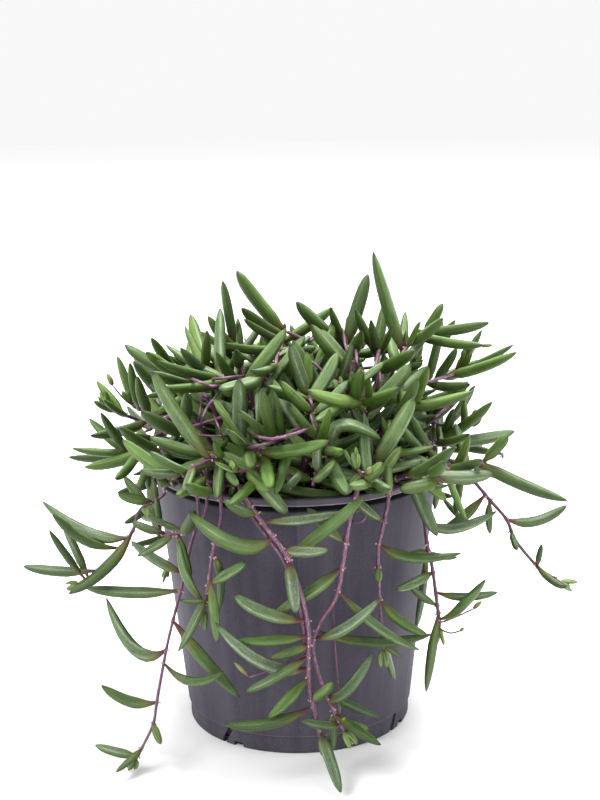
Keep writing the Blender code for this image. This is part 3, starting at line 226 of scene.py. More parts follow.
MOUND_SPRAYS: tuple[Spray, ...] = (
    Spray("stem_top_left", 2, ((276, 372), (284, 338), (285, 324)), (
        (268, 330, 236.6, 270.7, 6.6), (284, 330, 241.6, 308, 5.4), (270, 345, 224, 343, 5),
        (283, 338, 244, 319, 3.6))),
    Spray("stem_back_left", 2, ((246, 385, 10), (236, 355, 0), (233, 338, -4)), (
        (233, 340, 222.5, 280.6, 4.8, 0), (236, 350, 208, 316, 4.6, -6), (238, 356, 262, 322, 4.4, -10))),
    Spray("stem_left_crown", 1, ((248, 388), (222, 379), (198, 377)), (
        (220, 376, 220, 308, 5.4), (204, 377, 206.8, 330.4, 4.8), (199, 375, 190.2, 314.6, 5.8),
        (197, 376, 184.5, 326, 4.6), (198, 377, 180.2, 347.8, 4.2), (198, 378, 156.2, 360.2, 5.2),
        (206, 377, 165.3, 344.5, 3.8), (226, 380, 159.5, 387, 5.4), (214, 379, 216, 352, 4.2),
        (240, 384, 286.5, 328.5, 6.2))),
    Spray("stem_left_shoulder", 1, ((212, 392), (186, 372), (172, 366)), (
        (174, 366, 124.7, 344.8, 6.2), (176, 367, 151.2, 337.8, 4.4), (178, 370, 133.5, 357.5, 6, -14),
        (190, 376, 146, 352, 5), (200, 384, 150, 372, 5.2))),
    Spray("stem_left_bud", 1, ((196, 424), (160, 416), (138, 409), (130, 402)), (
        (134, 404, 117.2, 356, 4.8), (139, 408, 129.7, 362.7, 4.2), (148, 412, 137, 376, 4.8),
        (152, 414, 187.7, 393.4, 4.6))),
    Spray("stem_far_left", 1, ((188, 436), (150, 424), (124, 415), (110, 409)), (
        (122, 414, 96.8, 381, 4.2), (111, 409, 94, 401, 2.8), (144, 422, 89.9, 435.7, 5.4),
        (128, 417, 104, 400, 3), (184, 434, 141, 411, 6))),
    Spray("stem_left_edge", 1, ((196, 450), (158, 452), (122, 452)), (
        (124, 452, 89, 418.3, 4.2), (123, 451, 100.6, 412.5, 4), (124, 453, 72, 448.1, 4.2),
        (160, 451, 119.7, 427.4, 5), (130, 453, 115.6, 478.8, 4.8), (176, 451, 142, 471, 4.8))),
    Spray("stem_left_front", 0, ((224, 456, 50), (210, 460, 60), (190, 469, 66), (170, 480, 67)), (
        (172, 478, 122.2, 439, 5.2, -4), (172, 479, 140, 470, 4, 6), (178, 474, 150, 452, 4.4, 4),
        (214, 448, 149.5, 437.3, 5.2, 4), (207, 456, 152, 371, 5.8, 2), (216, 458, 217, 499, 4.6, 8),
        (204, 458, 165, 473, 4.8, 10), (192, 466, 184.4, 492, 3.8, 8))),
    Spray("stem_middle_left", 1, ((262, 452), (246, 447), (236, 440)), (
        (236, 440, 239, 379, 7.2), (240, 444, 228.3, 430, 3.4), (246, 447, 213, 398, 4.8),
        (260, 452, 329, 441, 5.8), (256, 451, 270, 488, 5))),
    Spray("stem_middle_tuft", 1, ((302, 432), (278, 438), (256, 437)), (
        (256, 437, 258.2, 392, 5), (272, 437, 260.7, 388.4, 4.8), (256, 437, 239, 410, 3.4),
        (273, 438, 277.2, 409, 3.4), (290, 435, 271, 487, 5.8))),
    Spray("stem_crown", 1, ((312, 412), (308, 398), (306, 382)), (
        (306, 396, 290.5, 343.6, 5.6), (307, 390, 307, 352, 4.2), (312, 410, 280.5, 381, 5.4),
        (308, 398, 268, 386, 5.6))),
    Spray("stem_front_tuft", 1, ((330, 452), (320, 442), (318, 432)), (
        (318, 434, 290.5, 404.2, 4.6), (319, 436, 329.5, 408.8, 3.8), (320, 438, 342, 451, 4.4),
        (318, 433, 381, 439, 5.6, 2, 334, 415), (328, 450, 347, 494, 5.6))),
    Spray("stem_crown_right", 1, ((370, 402), (352, 402), (343, 398)), (
        (344, 399, 316, 421, 5.2), (345, 399, 362, 367, 5.2), (352, 402, 399, 388, 6),
        (345, 399, 307, 390.5, 6), (364, 402, 369, 377, 3), (368, 402, 411, 364, 6.4))),
    Spray("stem_top_middle", 1, ((350, 378), (350, 360), (345, 344)), (
        (345, 346, 367.9, 274, 6.2), (345, 345, 330.4, 307, 4.4), (349, 372, 311, 324.5, 6.2),
        (350, 368, 321.4, 329.3, 6.2), (351, 356, 362, 331, 5.2), (345, 344, 296.3, 301.4, 6.6))),
    Spray("stem_top_right", 1, ((378, 386), (376, 368), (377, 350)), (
        (377, 352, 355.4, 309.6, 4.8), (377, 350, 386.5, 299, 6), (377, 352, 392, 326, 3.4),
        (376, 372, 413.8, 350.7, 6), (377, 354, 371, 319.5, 4.8))),
    Spray("stem_peak", 2, ((398, 392, 20), (402, 366, 8), (404, 346, 2)), (
        (403, 348, 373.2, 251.6, 7, 0), (404, 348, 405.4, 311.4, 4.4, -6), (402, 360, 428.6, 330, 4.6, 0),
        (402, 374, 389, 334, 6.4, -12))),
    Spray("stem_right_crown", 1, ((398, 374, 10), (410, 350, 4), (424, 338, 0), (440, 336, -2)), (
        (422, 339, 442.9, 303.4, 4.6, 0), (438, 336, 455.4, 320, 2.8, 0),
        (438, 337, 489.3, 322.5, 5.4, -4), (432, 337, 484, 345, 5.2, 8), (412, 347, 443, 318, 4.6, 10),
        (408, 352, 419, 322, 2.6, -4))),
    Spray("stem_right_shoulder", 0, ((412, 388), (428, 382), (446, 376), (462, 367)), (
        (460, 368, 482, 330, 4.2), (462, 367, 513.4, 344.5, 3.8), (456, 370, 517, 352, 5.4),
        (446, 376, 482, 359.5, 5.2), (447, 374, 457, 348, 4), (430, 381, 442.8, 321.5, 5),
        (424, 384, 470, 384, 4.6))),
    Spray("stem_right_tall", 1, ((392, 424), (402, 412), (412, 404)), (
        (411, 405, 428.6, 366.8, 4.8), (411, 407, 473, 391, 5.6), (396, 420, 418, 378, 4.6),
        (402, 412, 399, 376, 3.4))),
    Spray("stem_right_front", 1, ((374, 466), (378, 454), (388, 446)), (
        (375, 462, 414, 398, 6.4),)),
    Spray("stem_right_side", 0, ((410, 452), (428, 446), (443, 440)), (
        (442, 440, 453.6, 408.8, 4.4), (443, 439, 438, 425, 3), (443, 440, 492.5, 401.6, 4.8),
        (440, 441, 515, 431, 6), (428, 446, 410.7, 415, 5.2), (418, 449, 399, 421.5, 5.4),
        (444, 440, 469.6, 433.8, 3.8))),
    Spray("stem_right_edge", 0, ((436, 470, 44), (462, 462, 38), (486, 466, 34), (494, 470, 32)), (
        (490, 470, 508, 435.5, 4.6, 4), (486, 468, 568, 500.7, 6.2, 6), (470, 462, 516, 475.7, 5, -8),
        (450, 466, 482, 459.4, 4.6, 14), (456, 464, 469, 436, 4.2, 6))),
    Spray("stem_right_rim", 0, ((404, 474, 58), (424, 478, 62), (446, 485, 60)), (
        (408, 475, 454.5, 447, 5.6, 8), (445, 485, 399.5, 489.5, 5.2, 2), (446, 485, 493, 473.5, 5.6, -6),
        (430, 480, 445, 462, 4.4, 8))),
    Spray("stem_front_rim", 0, ((380, 478, 52), (368, 480, 66), (352, 474, 72)), (
        (354, 475, 346, 495, 5.2, 4), (364, 479, 383, 463, 5, 2), (357, 477, 364, 424.8, 4.6, -8),
        (353, 474, 302, 467, 5.2, 4), (366, 481, 390, 489, 4.2, 3))),
    Spray("stem_front_low", 0, ((268, 478, 52), (256, 476, 64), (243, 468, 70)), (
        (246, 470, 270, 491, 5.2, 3), (243, 468, 288, 514, 5.6, 10), (243, 468, 221, 453, 4.8, 2),
        (242, 471, 216.5, 513.5, 5, 6), (262, 479, 344, 493.5, 5, 4, 300, 494),
        (262, 477, 286, 456, 4.8, 4))),
)


TRAILING_SPRAYS: tuple[Spray, ...] = (
    Spray("stem_trail_left", 0, ((199, 514, 51), (195, 532, 49), (190, 547, 47), (187, 562, 46),
        (180.6, 590, 46), (166, 649, 52), (157, 702, 58), (152, 727, 60), (136, 760, 62)), (
        (180, 590, 86, 588, 5.2, -14), (184, 574, 131, 541, 4.4, -8),
        (163, 651, 106, 597, 5.4, -6, 134, 664), (175, 622, 240, 698, 5.2, 12),
        (167, 664, 224, 671, 3.8, 6, 190, 690), (157, 703, 101, 685, 4.8, -2, 130, 706),
        (153, 724, 161, 744, 3.2, 4), (137, 759, 95, 745, 4, -6), (136, 760, 116, 772, 3, 10))),
    Spray("stem_trail_near_left", 0, ((206, 511, 57), (198, 526, 56), (186, 531, 53), (172, 534, 48),
        (161, 531, 45), (153, 519, 43)), (
        (175, 536, 137, 556, 4.2, 4), (177, 537, 191, 577, 3.8, 8), (165, 534, 132, 521.5, 4.4, -2),
        (160, 529, 156, 496, 3.8, 4), (172, 533, 194, 511.5, 6, 2), (157, 526, 148, 515, 2.8, 2))),
    Spray("stem_trail_far_left", 0, ((164, 494, 38), (140, 510, 36), (130, 535, 35), (95, 572, 30),
        (78, 584, 28)), (
        (152, 500, 118, 493.7, 5, 4), (128, 538, 42, 501, 5.4, -8, 88, 538),
        (118, 549, 52, 514, 4.8, 4, 84, 544), (132, 530, 68, 594, 5.6, 14, 110, 570),
        (96, 571, 23, 566, 5, -4), (84, 580, 49, 530, 3.6, 6), (80, 583, 62, 520, 4, -8),
        (148, 505, 124, 476, 4, -4))),
    Spray("stem_trail_inner_left", 0, ((221, 519, 59), (213, 552, 61), (208, 588, 61), (205, 611, 61)), (
        (205, 606, 179, 540, 4, 2, 184, 578), (204, 611, 180, 600, 3, 4), (205, 611, 178, 652, 4, 8),
        (209, 584, 246, 562, 4.4, 6), (207, 590, 217, 643, 4.2, 8), (214, 545, 240, 538, 3.8, 4))),
    Spray("stem_trail_front", 0, ((241, 490, 66), (262, 522, 70), (285, 552, 72), (293, 570, 72),
        (302, 598, 71), (309, 632, 70), (308, 660, 69), (310, 692, 69), (315, 713, 69.5),
        (322, 738, 70)), (
        (322, 738, 341, 793, 4.8, 18), (272, 540, 188, 511, 6.4, 4, 240, 556),
        (258, 516, 224, 500, 4.8, 4), (290, 560, 296, 614, 5, 6), (262, 521, 346, 512, 4.6, 2),
        (290, 556, 364, 496, 5, 5), (292, 562, 329, 550, 4.8, 4), (304, 668, 215, 622, 5.4, 8, 262, 672),
        (312, 706, 224, 724, 5, 8, 268, 728), (307, 676, 268, 718, 5, 6, 288, 700),
        (304, 622, 234, 594, 5.6, 5, 264, 618), (308, 634, 236, 640, 4.6, 2), (308, 645, 270, 658, 4, 6),
        (308, 655, 245, 692, 4, 10, 276, 678), (311, 700, 333, 682, 4.4, 8))),
    Spray("stem_trail_front_right", 0, ((357, 488, 66), (350, 518, 68), (343, 562, 68), (339, 586, 67),
        (333, 604, 66), (322, 620, 65.5), (314, 638, 65), (314, 655, 64.5), (320, 680, 65),
        (331, 706, 67), (344, 732, 70)), (
        (345, 544, 307, 508, 5.2, 9), (355, 498, 381, 520, 3.6, 6), (340, 566, 274, 613, 5.2, -2),
        (340, 592, 420, 650, 4.6, 1, 378, 632), (314, 637, 380, 598, 5, 6, 344, 634),
        (314, 641, 432, 634, 4.6, 0, 372, 648), (328, 698, 372, 654, 4.6, 4, 344, 698),
        (329, 700, 380, 717, 4, 4), (340, 731, 301, 720, 3.8, 6), (344, 732, 369, 729, 3.6, 6),
        (345, 733, 381, 745, 4.4, 10), (344, 733, 332, 753, 3.6, 10))),
    Spray("stem_trail_right", 0, ((388, 500, 52), (382, 530, 55), (378, 557, 57), (380, 610, 57),
        (383, 650, 57)), (
        (382, 545, 462, 553, 4.6, 0, 408, 562), (379, 566, 378, 582, 3, 6),
        (380, 600, 427, 634, 4.2, 4, 400, 624), (383, 650, 402, 657, 3, 4), (383, 650, 395, 680, 3.4, 6),
        (384, 520, 352, 500, 4, 4))),
    Spray("stem_trail_side", 0, ((421, 494, 40), (424, 517, 40), (428, 547, 40), (433, 572, 40),
        (439, 619, 41), (440, 628, 41)), (
        (425, 520, 497, 511, 4.8, -2, 450, 534), (438, 592, 498, 592, 3.8, 2, 464, 600),
        (436, 606, 409, 585, 3.4, 4), (439, 620, 486, 579, 4.4, 2, 460, 612),
        (439, 625, 426, 692, 4.4, 6), (432, 572, 396, 590, 4, 4), (429, 550, 404, 556, 3.6, 4))),
    Spray("stem_trail_far_right", 0, ((470, 478, 26), (490, 500, 26), (506, 519, 26), (516, 541, 25),
        (537, 566, 24), (560, 582, 22)), (
        (507, 519, 567, 505, 4.8, -4, 536, 526), (512, 532, 517, 550, 3, 6), (489, 498, 490, 534, 3.6, 6),
        (538, 566, 542, 544, 3, 4), (484, 493, 444, 528, 4.4, 8, 458, 524),
        (558, 581, 567, 586, 2.4, 2))),
)

# Leaves that stand too close together for solids, drawn in the same way; a leaf whose base shows
# away from every stem grows from a side twig
CLOSE_LEAVES: Rows = (
    (262, 379, 219, 389.5, 6.2), (267, 378, 290, 357, 5.0), (246, 364, 236, 350, 4.4),
    (276, 366, 250, 370, 5.6), (188, 419, 186, 393, 5.4), (207, 456, 222, 443, 3.8),
    (226, 449, 214, 441, 3.4), (250, 452, 251, 468, 5.5, 12), (299, 463, 305, 486, 4.4),
    (212, 492, 186, 484, 5.0), (178, 482, 158, 480, 3.2),
    (389, 494, 387.5, 466, 4.6), (345, 492, 270, 494, 4.4),
    (236, 478, 216, 514, 4.8), (345, 466, 349, 492, 5.1),
    (361, 488, 388, 491, 4.0), (391, 490, 411, 472, 4.0), (399, 488, 449, 485, 4.8),
    (274, 486, 284, 456, 4.8), (241, 467, 272, 491, 5.2), (221, 453, 238, 485, 5.0),
    (323, 476, 344, 486, 4.0), (330, 470, 352, 460, 4.4), (300, 482, 262, 470, 4.6),
    (372, 478, 350, 486, 4.4), (206, 476, 176, 496, 4.6), (420, 476, 446, 500, 4.4),
    (540, 569, 566, 587, 3.4, 2, 553, 583), (424, 546, 416, 629, 3.8, -3, 424, 590),
    (214, 555, 219, 612, 3.6, 2, 224, 570),
)

# Bare side shoots that show between the leaves: thickness in mm, how pink from 0 to 1, and the
# pixels that they pass
RUNNERS: tuple[tuple[float, float, Rows], ...] = (
    (1.3, 0.5, ((192.4, 426.5), (211.6, 420.7), (227.8, 415.5))),
    (1.1, 0.3, ((202, 399.7), (200.6, 408), (199, 419.8))),
    (1.1, 0.3, ((213.5, 399.7), (206.8, 408.3), (203, 417.8))),
    (0.7, 0.9, ((216, 420.7), (221, 433))),
    (1.0, 0.6, ((196, 435), (210, 436), (224, 436))),
    (1.4, 0.4, ((259.4, 437), (271.9, 438.9), (290, 435), (304.4, 430.3))),
    (1.4, 0.3, ((253.7, 446.6), (271, 442.7))),
    (1.2, 0.4, ((311, 416.9), (314, 427.4), (317.8, 437))),
    (1.4, 0.3, ((196, 380.5), (210.6, 386), (218, 386))),
    (1.3, 0.4, ((218, 378.6), (237, 376.7))),
    (1.5, 0.8, ((296.5, 336), (308, 341), (312.8, 339))),
    (1.2, 0.0, ((300.8, 353.4), (315, 364), (326.9, 375), (341, 384.8))),
    (1.2, 0.3, ((344, 338), (346, 348), (350.7, 355.5))),
    (1.4, 0.4, ((356, 352), (357, 366))),
    (1.5, 0.9, ((377.8, 353.4), (374.6, 370.7))),
    (1.3, 0.4, ((352.9, 390), (359.4, 391.3), (368, 384.8))),
    (1.3, 0.5, ((409, 341.4), (418, 338), (431, 335))),
    (1.4, 0.3, ((425.5, 382.6), (436.4, 379.4), (447, 376))),
    (1.4, 0.3, ((434, 418), (445, 408.7))),
    (1.6, 0.4, ((238, 492, 65), (258, 525, 69), (280, 555, 71), (289, 573, 71), (298, 600, 70),
                (304, 632, 69), (304, 655, 68))),
    (0.9, 0.0, ((350, 519, 66), (357, 523, 68), (364, 520, 69), (366, 514, 69), (361, 510, 69),
                (356, 512, 69))),
)

# Flower buds on thin stalks: the stalk's pixels from its stem on, the bud's tip, the bud's length
# and thickness in mm, and its lean towards the viewer in mm
BUDS: Rows = (
    (137, 408, 125, 400, 113, 386, 107, 373, 2.4, 2), (404, 343, 408, 340, 411, 337, 421, 321, 2.0, 0),
    (439, 341, 442, 338, 445, 334, 456, 321, 2.0, 0), (442, 622, 458, 616, 473, 609, 482, 601, 2.0, 3),
    (438, 628, 450, 633, 460, 631, 464, 628, 1.6, 4), (308, 436, 311, 431, 314, 427, 319, 419, 2.0, 4),
    (330, 728, 337, 727, 342, 724, 345, 717, 1.6, 3), (345, 732, 349, 730, 352, 727, 356, 722, 1.4, 4),
    (333, 606, 335, 646, 338, 684, 340, 714, 1.6, -4), (290, 450, 291, 449, 292, 448, 294, 441, 2.6, 6),
    (350, 476, 352, 474, 353, 472, 357, 463, 2.6, 6), (364, 478, 366, 476, 367, 474, 371, 467, 2.4, 6),
    (462, 352, 472, 347, 481, 346, 493, 345, 1.8, 0), (304, 646, 286, 664, 250, 677, 234, 662, 1.9, 4),
)

# How thick some stems are, as a share of the usual thickness
THICKNESS: dict[str, float] = {
    "stem_trail_left": 0.78, "stem_trail_far_left": 0.82, "stem_trail_near_left": 0.8,
    "stem_trail_inner_left": 0.88, "stem_trail_front": 1.14, "stem_trail_front_right": 1.06,
    "stem_trail_right": 0.9, "stem_trail_side": 0.95, "stem_trail_far_right": 0.88,
}


@dataclass(frozen=True)
class FrontView:
    """The camera of the front view, which the sprays are drawn over, in pixels.

    Leaves by rule keep off the bare wall, and the extra ones keep off the open sides and the
    wall's edges. Each of these is (left, right, top) in pixels.
    """

    place: Vector = field(default_factory=lambda: Vector((0.0, -658.7, 296.9)) * MM)
    target: Vector = field(default_factory=lambda: Vector((2.0, 0.0, 136.9)) * MM)
    focal: float = 1630.7
    roll: float = math.radians(-0.82)
    middle: Span = (300.0, 400.0)
    frame_height: float = 800.0
    sensor: float = 36.0
    nearest: float = 0.01
    bare_wall: Row = (180.0, 430.0, 496.0)
    open_sides: Row = (130.0, 478.0, 455.0)
    wall_edges: Row = (165.0, 448.0, 492.0)

    def axes(self) -> tuple[Vector, Vector, Vector]:
        """The forward, right and up directions, turned by the roll.

        Returns:
            The three directions, each of length one.
        """
        forward = (self.target - self.place).normalized()
        right = forward.cross(UP).normalized()
        up = right.cross(forward)
        return forward, about(right, up, self.roll), about(up, -right, self.roll)

    def ray(self, across: float, down: float) -> Vector:
        """The direction from the camera through a pixel."""
        forward, right, up = self.axes()
        return forward * self.focal + right * (across - self.middle[0]) - up * (down - self.middle[1])

    def pixel(self, point: Vector) -> tuple[float, float]:
        """The pixel at which a point shows.

        Args:
            point: The point.

        Returns:
            Its place across and down.
        """
        forward, right, up = self.axes()
        offset = point - self.place
        scale = self.focal / offset.dot(forward)
        return self.middle[0] + offset.dot(right) * scale, self.middle[1] - offset.dot(up) * scale

    def in_front(self, point: Vector, region: Row) -> bool:
        """Whether a point on the near side shows inside a region."""
        across, down = self.pixel(point)
        return point.y < 0.0 and region[0] < across < region[1] and down > region[2]

    def left_open(self, point: Vector) -> bool:
        """Whether a point shows where only drawn leaves belong, beside or below the mound.

        Args:
            point: The point.

        Returns:
            True if leaves by rule stay away from it.
        """
        across, down = self.pixel(point)
        left, right, top = self.open_sides
        beside = down > top and not left < across < right
        return beside or self.in_front(point, self.wall_edges)

    def point(self, across: float, down: float, towards: float) -> Vector:
        """The point that shows at a pixel, the given length in front of the pot's axis."""
        ray = self.ray(across, down)
        return self.place + ray * ((-towards - self.place.y) / ray.y)

    def add_camera(self) -> None:
        """Adds the camera that stands at the front view's place."""
        data = bpy.data.cameras.new("front camera")
        data.sensor_width = self.sensor
        data.lens = self.focal * self.sensor / self.frame_height
        data.clip_start = self.nearest
        camera = add_object("front camera", data)
        forward, right, up = self.axes()
        turn = Matrix((right, up, -forward)).transposed()
        camera.matrix_world = Matrix.Translation(self.place) @ turn.to_4x4()
        bpy.context.scene.camera = camera


VIEW = FrontView()


@dataclass(frozen=True)
class Dome:
    """The dome on which the leaf tips of the mound lie."""

    radius: float = 88.0 * MM
    rise: float = 64.0 * MM
    level: float = 116.0 * MM
    stem_share: float = 0.70

    def seen_at(self, across: float, down: float, share: float) -> Vector:
        """The near point of the dome, scaled by share, that shows at a pixel.

        Args:
            across: The pixel's place across.
            down: The pixel's place down.
            share: The share of the dome's size.

        Returns:
            The point, or the nearest to it on the dome's outline.
        """
        ray = VIEW.ray(across, down)
        radii = (self.radius * share, self.radius * share, self.rise * share)
        start = VIEW.place - Vector((0.0, 0.0, self.level))
        eye = Vector([start[i] / radii[i] for i in range(3)])
        run = Vector([ray[i] / radii[i] for i in range(3)])
        square = run.dot(run)
        middle = eye.dot(run)
        inside = middle * middle - square * (eye.dot(eye) - 1.0)
        reach = (-middle - math.sqrt(max(inside, 0.0))) / square
        return VIEW.place + ray * reach

    def at(self, angle: float, height_share: float, share: float) -> Vector:
        """A point at an angle from the front and a share of the quarter arc's height.

        Args:
            angle: The angle in degrees.
            height_share: The share of the arc's height.
            share: The share of the dome's size.

        Returns:
            The point.
        """
        lift = math.radians(90.0 * height_share)
        point = outward(angle) * (self.radius * share * math.cos(lift))
        point.z = self.level + self.rise * share * math.sin(lift)
        return point

    def left_outside(self, point: Vector, share: float) -> bool:
        """Whether a point lies outside the upper dome, scaled by share.

        Args:
            point: The point.
            share: The share of the dome's size.

        Returns:
            True if it lies outside.
        """
        lift = (point.z - self.level) / (self.rise * share)
        if lift < 0.0:
            return False
        around = math.hypot(point.x, point.y) / (self.radius * share)
        return around * around + lift * lift > 1.0


@dataclass(frozen=True)
class PotForm:
    """The sizes of the pot and of the soil in it."""

    rim_radius: float = 60.0 * MM
    height: float = 112.0 * MM
    lip_height: float = 2.8 * MM
    lip_overhang: float = 1.1 * MM
    groove_height: float = 2.3 * MM
    groove_depth: float = 0.4 * MM
    wall: float = 1.3 * MM
    base_radius: float = 47.0 * MM
    foot_height: float = 7.6 * MM
    foot_step: float = 0.8 * MM
    floor: float = 1.6 * MM
    soil_edge: float = 99.0 * MM
    soil_middle: float = 103.0 * MM
    soil_flat: float = 0.62
    soil_gap: float = 0.6 * MM
    gap: float = 0.3 * MM

    @property
    def lip_low(self) -> float:
        """The height of the lip's underside."""
        return self.height - self.lip_height

    @property
    def groove_low(self) -> float:
        """The height of the lower end of the groove under the lip."""
        return self.lip_low - self.groove_height

    @property
    def wall_top(self) -> float:
        """The wall's outer radius under the lip."""
        return self.rim_radius - self.lip_overhang

    @property
    def inside_top(self) -> float:
        """The inner radius at the rim."""
        return self.wall_top - self.wall

    def tapered(self, height: float, foot: float, low: float, high: float) -> float:
        """A radius that grows evenly from low at the foot to high at the lip's underside."""
        return low + (high - low) * held((height - foot) / (self.lip_low - foot))

    def outer_radius(self, height: float) -> float:
        """The outer radius below the lip."""
        return self.tapered(height, self.foot_height, self.base_radius + self.foot_step, self.wall_top)

    def inner_radius(self, height: float) -> float:
        """The inner radius above the floor."""
        return self.tapered(height, self.floor, self.base_radius - self.wall, self.inside_top)


@dataclass(frozen=True)
class Habit:
    """How the plant grows: the sizes and the rule of its stems and leaves."""

    stem_radius: float = 1.05 * MM
    stem_tip_radius: float = 0.75 * MM
    stem_step: float = 14.0 * MM
    test_step: float = 1.6 * MM
    root_depth: float = 6.5 * MM
    root_rise: float = 4.0 * MM
    root_spacing: float = 5.5 * MM
    root_limit: float = 48.0 * MM
    root_grid: float = 2.0 * MM
    root_draw: float = 0.62
    leaf_bow: float = 0.07
    leaf_limit: float = 46.0 * MM
    leaf_from_end: float = 2.5 * MM
    leaf_spacing: float = 2.2 * MM
    lowest_leaf: float = 0.2
    nearest_steps: int = 120
    long_lean: float = 0.3
    drawn_bend: float = 0.35
    clearance: float = 0.75 * MM
    own_clearance: float = -0.3 * MM
    own_root_share: float = 0.25
    floor_clearance: float = 0.5 * MM
    base_inset: float = 0.45
    balls: int = 10
    ball_foot: float = 0.26
    ball_low: float = 0.85
    ball_full: float = 0.62
    dome_limit: float = 0.97
    tries: int = 14
    turn_step: float = 0.45
    turn_lift: float = 0.04
    turn_trim: float = 0.02
    round_from: Vector = field(default_factory=lambda: Vector((0.3, 0.2, 1.0)))
    full_lengths: Span = (26.0, 37.0)
    full_radii: Span = (2.5, 3.1)
    young_lengths: Span = (15.0, 22.0)
    young_radii: Span = (1.7, 2.2)
    young_leaves: int = 2
    next_turn: float = 2.4
    low_fan: Row = (14, 84, 112, 139, 166, 194, 221, 248, 276, 346)
    high_fan: Row = (20, 100, 142, 180, 218, 260)
    trail_fan: Row = (108, 134, 157, 180, 203, 226, 252)
    short_trails: Row = (108, 252)
    low_way: Rows = ((0.36, 0.5), (0.16, 0.64), (0.05, 0.76))
    high_way: Rows = ((0.85, 0.4), (0.66, 0.6), (0.48, 0.74))
    hang_way: Rows = ((9.0, 0.2, 0.3), (8.0, 0.7, 1.0), (11.0, 1.0, 1.3))
    low_share: float = 0.34
    low_lean: float = 0.9
    low_rise: float = 0.12
    low_forward: float = 0.1
    fan_fill: Row = (0.3, 0.45, 0.55)
    hang_fill: Row = (0.36, 0.1, 0.55)
    drawn_fill: Row = (0.4, 0.6, 0.55)
    short_drops: Span = (26.0, 32.0)
    long_drops: Span = (44.0, 86.0)
    hang_sway: float = 9.0
    fan_tilt: float = 5.0
    over_rim: Vector = field(default_factory=lambda: Vector((2.5, 0.0, 5.0)) * MM)
    fan_leaves: int = 6
    trail_leaves: int = 5
    stem_tries: int = 160
    nudge: float = 1.5 * MM
    nudge_growth: float = 0.06 * MM
    shifts: Row = (0.0, 4.0, -4.0, 8.0, -8.0, 12.0, -12.0, 17.0, -17.0)
    widths: Row = (1.0, 0.86, 0.74, 0.64)
    asides: Rows = ((0, 0), (6, -4), (-6, 4), (4, 8), (-4, -8), (12, -8), (-12, 8))
    seed: int = 20
    extra_seed: int = 7
    extra_leaves: int = 6
    extra_trail_leaves: int = 4
    extra_clearance: float = -0.35 * MM
    extra_pot_clearance: float = 0.15 * MM
    extra_lengths: Span = (19.0, 33.0)
    extra_radii: Span = (1.7, 2.4)
    extra_rises: Span = (0.0, 0.55)
    extra_shares: Span = (0.25, 1.0)
    extra_forward: float = 0.4
    extra_dome: float = 0.88
    extra_facing: float = 0.72
    depth_weight: float = 40.0
    twig_share: float = 0.8
    twig_from: float = 10.0
    twig_step: float = 1.5 * MM
    runner_shares: Row = (0.95, 0.91, 0.87, 0.83, 0.79, 0.75)
    runner_end_share: float = 0.62
    runner_end: float = 9.0


DOME = Dome()
POT = PotForm()
HABIT = Habit()


def clear_of_pot(centre: Vector, radius: float, clearance: float) -> bool:
    """Whether a ball is clear of the pot's wall and rim, of the soil and of the ground.

    Args:
        centre: The ball's centre.
        radius: The ball's radius.
        clearance: The room that it needs round it.

    Returns:
        True if it is clear of all of them.
    """
    around = math.hypot(centre.x, centre.y)
    reach = radius + clearance
    if centre.z < radius + HABIT.floor_clearance:
        return False
    if centre.z >= POT.height:
        over_rim = POT.inside_top - reach < around < POT.rim_radius + reach
        return centre.z > POT.height + reach or not over_rim
    if around > POT.outer_radius(centre.z) + POT.lip_overhang + reach:
        return True
    return around < POT.inner_radius(centre.z) - reach and centre.z > POT.soil_middle + reach


def smooth_route(points: Sequence[Vector], step: float) -> list[Vector]:
    """A Catmull-Rom curve through points.

    Args:
        points: The points to pass through, at least two.
        step: The length between the curve's points, at most.

    Returns:
        The curve's points, the first and last of the given ones included.
    """
    ends = [points[0] * 2.0 - points[1], *points, points[-1] * 2.0 - points[-2]]
    route = [points[0].copy()]
    for i in range(1, len(ends) - 2):
        before, start, end, after = ends[i - 1 : i + 3]
        pieces = max(1, round((end - start).length / step))
        for k in range(1, pieces + 1):
            t = k / pieces
            pull = (end - before) * t + (before * 2.0 - start * 5.0 + end * 4.0 - after) * t * t
            curl = (start * 3.0 - before - end * 3.0 + after) * t * t * t
            route.append(start + (pull + curl) * 0.5)
    return route


@dataclass
class Leaf:
    """The place of one leaf: a quadratic curve from its base to its tip."""

    foot: Vector
    bend: Vector
    tip: Vector
    radius: float

    @property
    def base(self) -> Vector:
        """The leaf's end inside its stem, a little behind the stem's middle."""
        inset = HABIT.stem_tip_radius * HABIT.base_inset
        return self.foot - (self.bend - self.foot).normalized() * inset

    @property
    def length(self) -> float:
        """The length from base to tip."""
        return (self.tip - self.base).length

    def point(self, share: float) -> Vector:
        """The point at a share of the leaf's curve."""
        return curve(self.base, self.bend, self.tip, share)

    def fill(self) -> Iterator[tuple[float, Vector, float]]:
        """Balls that fill the leaf, as (share, centre, radius).

        Returns:
            The balls from the foot to the tip.
        """
        for k in range(HABIT.balls):
            share = (k + 1) / HABIT.balls
            full = 0.0
            if share < 1.0:
                swell = math.sin(math.pi * share**HABIT.ball_low) ** HABIT.ball_full
                full = max(HABIT.ball_foot * (1.0 - share), swell)
            yield share, self.point(share), self.radius * full


